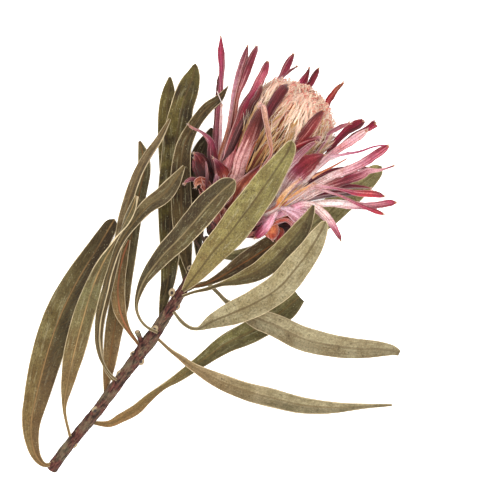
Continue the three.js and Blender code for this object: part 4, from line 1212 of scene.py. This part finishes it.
     (54, 52), (0, 0), [RUST, SCARLET, PEACH], -0.9),
    ([(235, 200, 14), (239, 190, 19), (243.5, 182, 18), (250, 174.5, 10), (258, 167, 4.5),
      (266, 161.5, 3), (270.5, 156.5, 2)],
     (81, 104), (20, 50), [(196, 96, 72), (226, 132, 98), (200, 96, 72), MAROON, SCARLET], 0.9),
    ([(234, 206, 7), (236.5, 198, 8), (238, 190, 6)],
     (74, 78), (0, 0), [WINE, RUST, RUST], -0.8),
    # short scales at the left of the foot
    ([(214.5, 167, 10), (212.5, 155, 10), (211.5, 143.5, 6.5), (207, 136.5, 4), (201, 131.5, 2.6),
      (195, 128.8, 2.2), (190.5, 126.3, 2.2), (188.8, 125.2, 1)],
     (56, 70), (0, 30), [WINE, MAROON, ROSE, DUSTY, PEACH], -1.0),
    ([(210, 182, 12), (205, 170, 15), (202, 161, 12), (198, 156, 6.5), (194.2, 153.4, 1.5)],
     (58, 68), (0, 20), [(74, 14, 6), (70, 14, 6), (96, 20, 16), DUSTY], -0.9),
    ([(228, 186, 13), (223, 175, 14), (219.5, 167.5, 9), (216.5, 162, 4.5), (213.3, 158, 1.2)],
     (68, 76), (0, 0), [BRICK, BRICK, MAROON, BLUSH], -0.9),
    ([(212, 194, 8), (206, 186, 11), (201, 182.5, 10), (197.5, 183.5, 7), (196, 186.5, 2.5)],
     (62, 66), (0, 30), [WINE, BRICK, RUST, PEACH], 0.9),
    ([(206, 188, 6), (198, 181.5, 5), (192, 179.5, 4), (187, 181.5, 3.2), (184.6, 183.4, 1.2)],
     (56, 60), (0, 30), [WINE, MAROON, DUSTY], 1.0),
    ([(206, 182, 10), (200, 172, 11), (196.5, 165, 8), (195, 159, 3)],
     (48, 52), (0, 0), [WINE, WINE, MAROON], -0.8),
]

# Bracts on the far side, outer row first: how far out, how much further out underneath, and each
# bract's angle in degrees and how far along the axis it reaches.
FAR_ROWS = [
    (59, 28, [(252, 80), (264, 82), (277, 77), (289, 80), (304, 74), (316, 80), (328, 76), (339, 72),
              (350, 76)]),
    (50, 6, [(252, 88), (266, 89), (280, 87), (295, 81), (326, 76), (336, 78), (350, 84)]),
    (38, 0, [(234, 82), (246, 94), (260, 94), (274, 90), (288, 87), (300, 84), (312, 80)]),
]
ROW_FEET = [(9, 12), (13, 14.5), (18, 16)]  # where each row grows: along the axis and out
NEAR_LOW = 9  # short bracts low on the near side, towards the right
TIP_HAIRS = 12  # at the point of each long bract
TIP_HAIR_RADII = (0.20, 0.36)
TIP_HAIR_LENGTHS = (1.0, 3.0)
FAR_WIDTHS = (8, 10.5)
NEAR_WIDTHS = (6, 9)
SCALE_WIDTHS = (6.5, 9)
CLEARANCE = 1.2  # between the florets and a bract that shows, in mm
HEAD_MIDDLE = 262  # in the picture, bracts left of it stand a little darker
SCALES = 42
SCALE_ROWS = [  # foot, middle and tip of a scale: along the axis and out
    [(3, 8), (10, 16), (14, 22)],
    [(7, 13), (17, 21), (22, 26)],
    [(10, 15), (22, 23), (31, 29)],
]
FAR_STOPS = [
    [PALE, BLUSH, ROSE, MAROON, CRIMSON],
    [BLUSH, DUSTY, MAROON, WINE],
    [PALE, PALE, ROSE, CRIMSON, MAROON],
]
NEAR_STOPS = [PALE, (240, 200, 160), (226, 170, 120)]
SCALE_STOPS = [[WINE, BRICK, BRICK, RUST], [WINE, RUST, BRICK, PEACH], [WINE, MAROON, MAROON, DUSTY]]


def rolled_section(curl, seed, wave):
    """A bract's cross-section: an arc whose ends turn towards the eye (plus) or away (minus)."""
    half = max(abs(curl), 0.08)
    spread = math.sin(min(half, math.pi / 2))

    def section(side, share, width):
        turn = half * side * (0.75 + 0.5 * share)
        radius = width / 2 / spread
        rise = math.copysign(radius * (1 - math.cos(turn)), curl)
        ripple = noise.noise(Vector((seed, 9 * share, 2 * side)))
        nibble = noise.noise(Vector((seed + 30, 40 * share, side)))
        out = radius * math.sin(turn) * (1 + 0.16 * nibble * abs(side) ** 3)
        return out, rise + wave * width * ripple * side * side
    return section


def bract_thickness(share, width):
    """A bract is thickest at its foot."""
    return BRACT_THICKNESS * (1.5 - share)


def clear_of_florets(place):
    """A place moved out of the florets' mass, away from the head's axis."""
    aside = lean(read_head(place)[0])
    along, radius, angle = read_head(place - aside)
    return on_head(along, max(radius, floret_radius(along) + CLEARANCE), angle) + aside


def shown_stations(points, heights, rolls):
    """Stations of a bract that shows, with a foot that reaches down to the cup, and the share of
    its length that the foot takes."""
    last = len(points) - 1
    rows = []
    for k, (u, v, width) in enumerate(points):
        height = (heights[0] + (heights[1] - heights[0]) * (k / last) ** 1.2) * MM
        place = clear_of_florets(seen(u, v, height))
        roll = rolls[0] + (rolls[1] - rolls[0]) * k / last
        rows.append(list(place) + [width * seen_step(height), roll])
    start = Vector(rows[0][:3])
    along, radius, angle = read_head(start)
    if along > 22:
        foot_along, foot_radius = ROW_FEET[1]
        half = foot_along + 0.55 * (along - foot_along)
        half_out = max(foot_radius + 0.55 * (radius - foot_radius), floret_radius(half) + CLEARANCE)
        rows.insert(0, list(on_head(half, half_out, angle)) + [0.95 * rows[0][3], rolls[0]])
        rows.insert(0, list(on_head(foot_along, foot_radius, angle)) + [0.0055, rolls[0]])
    stations = rows_to_stations(rows, BRACT_STEPS, 0.0004)
    foot = min(range(BRACT_STEPS), key=lambda k: (stations[k][0] - start).length)
    return stations, foot / BRACT_STEPS


def bend(points, share):
    """A place on the curve that starts at the first point and ends at the last."""
    while len(points) > 1:
        points = [here.lerp(there, share) for here, there in zip(points, points[1:])]
    return points[0]


def head_stations(line, angle, drift, width_at, steps):
    """Stations of a blade that faces away from the axis; the line's points are along and out."""
    stations = []
    for k in range(steps + 1):
        share = k / steps
        along, radius = bend(line, share)
        turn = angle + drift * share * share
        place = on_head(along, max(radius, floret_radius(along) + 1.4), turn)
        place.z = max(place.z, 0.0009)
        across = math.sin(turn) * HEAD_RIGHT - math.cos(turn) * HEAD_FRONT
        stations.append((place + lean(along) * 0.6, across, width_at(share)))
    return stations


def tinted(piece, stops, seed, light, foot_share=0.0):
    """Colours a bract from its foot to its tip, and marks it so that its streaks are its own. The
    colours start above the share that its foot takes. Some bracts take painted shade on the right
    half, the others on the left."""
    mesh = piece.data
    mesh.color_attributes.new("tint", "FLOAT_COLOR", "POINT")
    mesh.attributes.new("seed", "FLOAT", "POINT")
    marks = mesh.attributes
    # which half of the bract takes the painted shade
    turned = 1 if math.sin(5 * seed) > 0 else -1
    for vertex in mesh.vertices:
        at = vertex.index
        share = marks["share"].data[at].value
        uneven = 0.05 * noise.noise(Vector((seed, 6 * share, 120 * vertex.co.x)))
        colour = blended(stops, (share - foot_share) / (1 - foot_share) + uneven)
        marks["side"].data[at].value *= turned
        marks["tint"].data[at].color = [value * light for value in colour[:3]] + [1]
        marks["seed"].data[at].value = seed
    return piece


def bract_finish(name, inner):
    """A papery bract in its own colours, with painted shade over one half as if it were turned from
    the light, dark and pale streaks along it, speckles, dry patches and a pale rim. Dark bracts take
    less of what is pale, and pale bracts less of the painted shade. The inside is paler."""
    material, tree = new_finish(name, {
        "Roughness": 0.5,
        "Specular IOR Level": 0.2,
        "Sheen Weight": 0.06,
        "Subsurface Weight": 0.35,
        "Subsurface Radius": (1.0, 0.35, 0.25),
        "Subsurface Scale": 0.001,
    })
    place = place_on(tree)
    sheet = add(tree, "ShaderNodeUVMap", uv_map="UVMap")
    across, down = [add(tree, "ShaderNodeSeparateXYZ", [("Vector", sheet)], way) for way in "XY"]
    own = [("X", times(tree, across, 3.2)), ("Y", down), ("Z", marked(tree, "seed"))]
    streaks = clouds(tree, add(tree, "ShaderNodeCombineXYZ", own), 2.2, 5, 0.7)
    tint = marked(tree, "tint", "Color")
    depth = add(tree, "ShaderNodeRGBToBW", [("Color", tint)])
    lit = stretched(tree, depth, 0.008, 0.07, 0.12, 1)

    # painted shade over one half, as if it were turned from the light, and the dark and pale streaks
    half = stretched(tree, plus(tree, marked(tree, "side"), times(tree, streaks, 1.2)), 0.40, 1.15)
    half = times(tree, half, stretched(tree, depth, 0.02, 0.26, 0.72, 0.15))
    light_streaks = stretched(tree, streaks, 0.46, 0.37)
    colour = mixed(tree, half, tint, (0.42, 0.20, 0.20, 1), "MULTIPLY")
    colour = laid(tree, colour, streaks, 0.51, 0.59, 0.75, (0.42, 0.18, 0.19, 1), "MULTIPLY")
    colour = mixed(tree, light_streaks, colour, (1.6, 1.5, 1.45, 1), "MULTIPLY")
    pale = times(tree, light_streaks, times(tree, lit, 0.65))
    colour = mixed(tree, pale, colour, pigment(253, 220, 210))

    # speckles, dry patches and grain
    speckles = clouds(tree, place, 720, 3, 0.6)
    patches = clouds(tree, place, 260, 4, 0.6)
    fine = clouds(tree, place, 1300, 3, 0.7)
    grain = laid(tree, grey(0.22), fine, 0.3, 0.7, 1, grey(0.78))
    colour = laid(tree, colour, speckles, 0.52, 0.60, 0.45, (0.60, 0.34, 0.36, 1), "MULTIPLY")
    colour = laid(tree, colour, patches, 0.54, 0.68, 0.6, (0.66, 0.44, 0.30, 1), "MULTIPLY")
    colour = mixed(tree, 0.6, colour, grain, "OVERLAY")
    if inner:
        colour = mixed(tree, 0.40, colour, pigment(236, 190, 178))
    rim = plus(tree, marked(tree, "margin"), times(tree, fine, 0.3))
    rim = times(tree, stretched(tree, rim, 0.52, 0.24, 0, 0.5), lit)
    colour = mixed(tree, rim, colour, pigment(236, 186, 176))
    return painted(material, colour, plus(tree, streaks, times(tree, fine, 0.4)), 0.0004, 0.8)


bract_face = bract_finish("bract_outside", False)
bract_back = bract_finish("bract_inside", True)
chance = random.Random(23)
bracts = []
tips = []  # of the long bracts: place, way ahead and way across


def add_bract(stations, curl, seeds, wave, stops, light, foot_share=0.0, columns=BRACT_COLUMNS):
    """Adds a bract along its stations; the seeds are of its ripples and of its streaks."""
    bract = blade("bract_blades", stations, columns, rolled_section(curl, seeds[0], wave), bract_thickness)
    bracts.append(tinted(bract, stops, seeds[1], light, foot_share))


def add_tip(stations):
    """Keeps a bract's tip for its hairs."""
    tip = stations[-1][0]
    tips.append((tip, (tip - stations[-4][0]).normalized(), stations[-1][1]))


for index, (points, heights, rolls, stops, curl) in enumerate(SHOWN):
    stations, foot_share = shown_stations(points, heights, rolls)
    light = chance.uniform(1.0, 1.18) * (0.92 if points[0][0] < HEAD_MIDDLE else 1.08)
    add_bract(stations, curl, (5.3 * index, 3.1 * index), 0.10, stops, light, foot_share)
    add_tip(stations)

for row, (out, wider, places) in enumerate(FAR_ROWS):
    for k, (degrees, along) in enumerate(places):
        angle = math.radians(degrees)
        along += chance.uniform(-2, 2)
        far = Vector((along, out + wider * math.sin(angle) ** 2 + chance.uniform(-1.5, 1.5)))
        foot = Vector(ROW_FEET[row])
        reach = far - foot
        line = [foot, foot + reach * Vector((0.4, 0.14)), foot + reach * Vector((0.8, 0.6)), far]
        wide = chance.uniform(*FAR_WIDTHS) * MM
        width_at = taper(wide, lambda t: (0.5 + 0.5 * smooth_share(t, 0, 0.4)) * (1 - 0.9 * t ** 3))
        stations = head_stations(line, angle, chance.uniform(-0.1, 0.1), width_at, BRACT_STEPS)
        own = 7 * row + k
        add_bract(stations, chance.uniform(-1.1, -0.6), (90 + own, 200 + own), 0.12,
                  FAR_STOPS[(row + k) % 3], chance.uniform(0.85, 1.05))
        add_tip(stations)

for k in range(NEAR_LOW):
    angle = math.radians(-20 + 75 * k / (NEAR_LOW - 1) + chance.uniform(-4, 4))
    foot = Vector(ROW_FEET[k % 3])
    reach = chance.uniform(38, 58)
    far = Vector((reach, floret_radius(reach) + chance.uniform(1.6, 5)))
    line = [foot, foot.lerp(far, 0.4) + Vector((0, 3)), far]
    wide = chance.uniform(*NEAR_WIDTHS) * MM
    width_at = taper(wide, lambda t: (0.6 + 0.4 * smooth_share(t, 0, 0.4)) * (1 - 0.92 * t ** 3))
    stations = head_stations(line, angle, chance.uniform(-0.1, 0.1), width_at, 20)
    add_bract(stations, chance.uniform(-0.9, -0.4), (300 + k, 300 + k), 0.10,
              NEAR_STOPS, chance.uniform(0.85, 1.05), columns=6)

for k in range(SCALES):
    angle = 2 * math.pi * k / SCALES * 3.02 + chance.uniform(-0.06, 0.06)
    line = [Vector(point) for point in SCALE_ROWS[k % 3]]
    line[2] += Vector((chance.uniform(-1, 3), chance.uniform(-2, 2.5)))
    width_at = taper(chance.uniform(*SCALE_WIDTHS) * MM, lambda t: 0.8 + 0.4 * t - 0.85 * t ** 3)
    stations = head_stations(line, angle, 0, width_at, 16)
    add_bract(stations, -0.55, (400 + k, 400 + k), 0.12, SCALE_STOPS[k % 3], chance.uniform(0.85, 1.1),
              columns=6)

for bract in bracts:
    bract.data.materials.append(bract_face)
    bract.data.materials.append(bract_back)
bracts = joined("bract_blades", bracts)
for vertex in bracts.data.vertices:
    vertex.co.z = max(vertex.co.z, LOWEST)
smoothed(bracts, 60)

routes = []
for place, ahead, across in tips:
    for _hair in range(TIP_HAIRS):
        way = ahead + chance.uniform(-0.45, 0.45) * across
        way += chance.uniform(-0.3, 0.3) * ahead.cross(across)
        length = chance.uniform(*TIP_HAIR_LENGTHS) * MM
        droop = 0.2 * length * Vector([chance.uniform(-1, 1) for _way in "xyz"])
        start = place - 0.8 * MM * ahead + chance.uniform(-0.5, 0.5) * MM * across
        places = [start + way * length * part + droop * part * part for part in (0, 0.25, 0.5, 0.75, 1)]
        for spot in places:
            spot.z = max(spot.z, 0.0008)
        radius = taper(chance.uniform(*TIP_HAIR_RADII) * MM, lambda t: 1 - 0.8 * t)
        routes.append((places, radius, [RUST, PEACH, PALE], chance.uniform(0.75, 1.05)))
tip_hairs = grown("bract_tip_hairs", hair_model, routes, silk_finish("dry_tip_hair", 0.4, 0.1))
for piece in (bracts, tip_hairs):
    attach(piece, "root")
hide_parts("bracts")


# ---------------------------------------------------------------- loose fibres
# Thin dry fibres that have come loose between the bracts: golden ones low on the florets and
# pink threads that stand out beyond the bracts at the right.
FIBRES = [  # places across, down and height in mm, thickness in mm, colours
    ([(312, 178, 94), (322, 172, 96), (332, 167, 96), (341, 162, 95), (348, 158, 93)],
     1.5, [PEACH, RUST, RUST]),
    ([(330, 157, 92), (346, 154, 92), (360, 151.4, 90), (374, 146.6, 88), (388, 144.7, 86)],
     1.9, [BLUSH, ROSE, ROSE]),
    ([(330, 160, 92), (338, 156.5, 92), (345, 153.6, 91), (349.6, 151.4, 91)],
     1.4, [PALE, BLUSH, ROSE]),
    ([(279, 207, 84), (287, 198, 87), (295, 190, 90), (304, 183, 94)], 0.7, [GOLD, GOLD, PEACH]),
    ([(282, 206, 82), (291, 197, 86), (300, 189, 90), (309, 182, 94)], 0.8, [RUST, GOLD, PALE]),
    ([(276, 202, 86), (281, 194, 88), (287, 187, 91), (292, 181, 95)], 0.7, [GOLD, PEACH, PALE]),
    ([(285, 206, 80), (296, 198, 85), (307, 190, 90), (318, 183, 94)], 0.7, [GOLD, PEACH, PEACH]),
    ([(217, 91, 76), (221, 101, 78), (226, 112, 79), (229.5, 122, 79)], 0.5, [PALE, WHITE, PEACH]),
    ([(222, 101, 78), (224, 111, 78), (224.7, 121, 78)], 0.4, [WHITE, PALE, PALE]),
    ([(254, 182, 92), (260, 168, 97), (265, 155, 101), (268, 141, 105)], 0.6, [RUST, GOLD, PEACH]),
    ([(262, 172, 96), (268, 158, 101), (274, 143, 105), (278, 126, 108)], 0.5, [RUST, GOLD, BLUSH]),
    ([(272, 170, 100), (277, 158, 104), (284, 145, 108), (292, 131, 110)], 0.6, [RUST, GOLD, PEACH]),
    ([(246, 170, 92), (250, 156, 96), (256, 143, 100), (264, 130, 104)], 0.5, [RUST, RUST, GOLD]),
]
fibre_model = strand_model(5, 16)
routes = []
for points, thick, stops in FIBRES:
    rows = smooth_rows([list(seen(u, v, z * MM)) for u, v, z in points], 16)
    places = [clear_of_florets(Vector(row)) for row in rows]
    routes.append((places, taper(thick / 2 * MM, lambda t: 1 - 0.5 * t), stops, 1.0))
fibres = grown("loose_fibres", fibre_model, routes, silk_finish("dry_fibre", 0.6, 0.05))
smoothed(fibres, 60)
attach(fibres, "root")
for model in (fibre_model, hair_model):
    bpy.data.objects.remove(model)
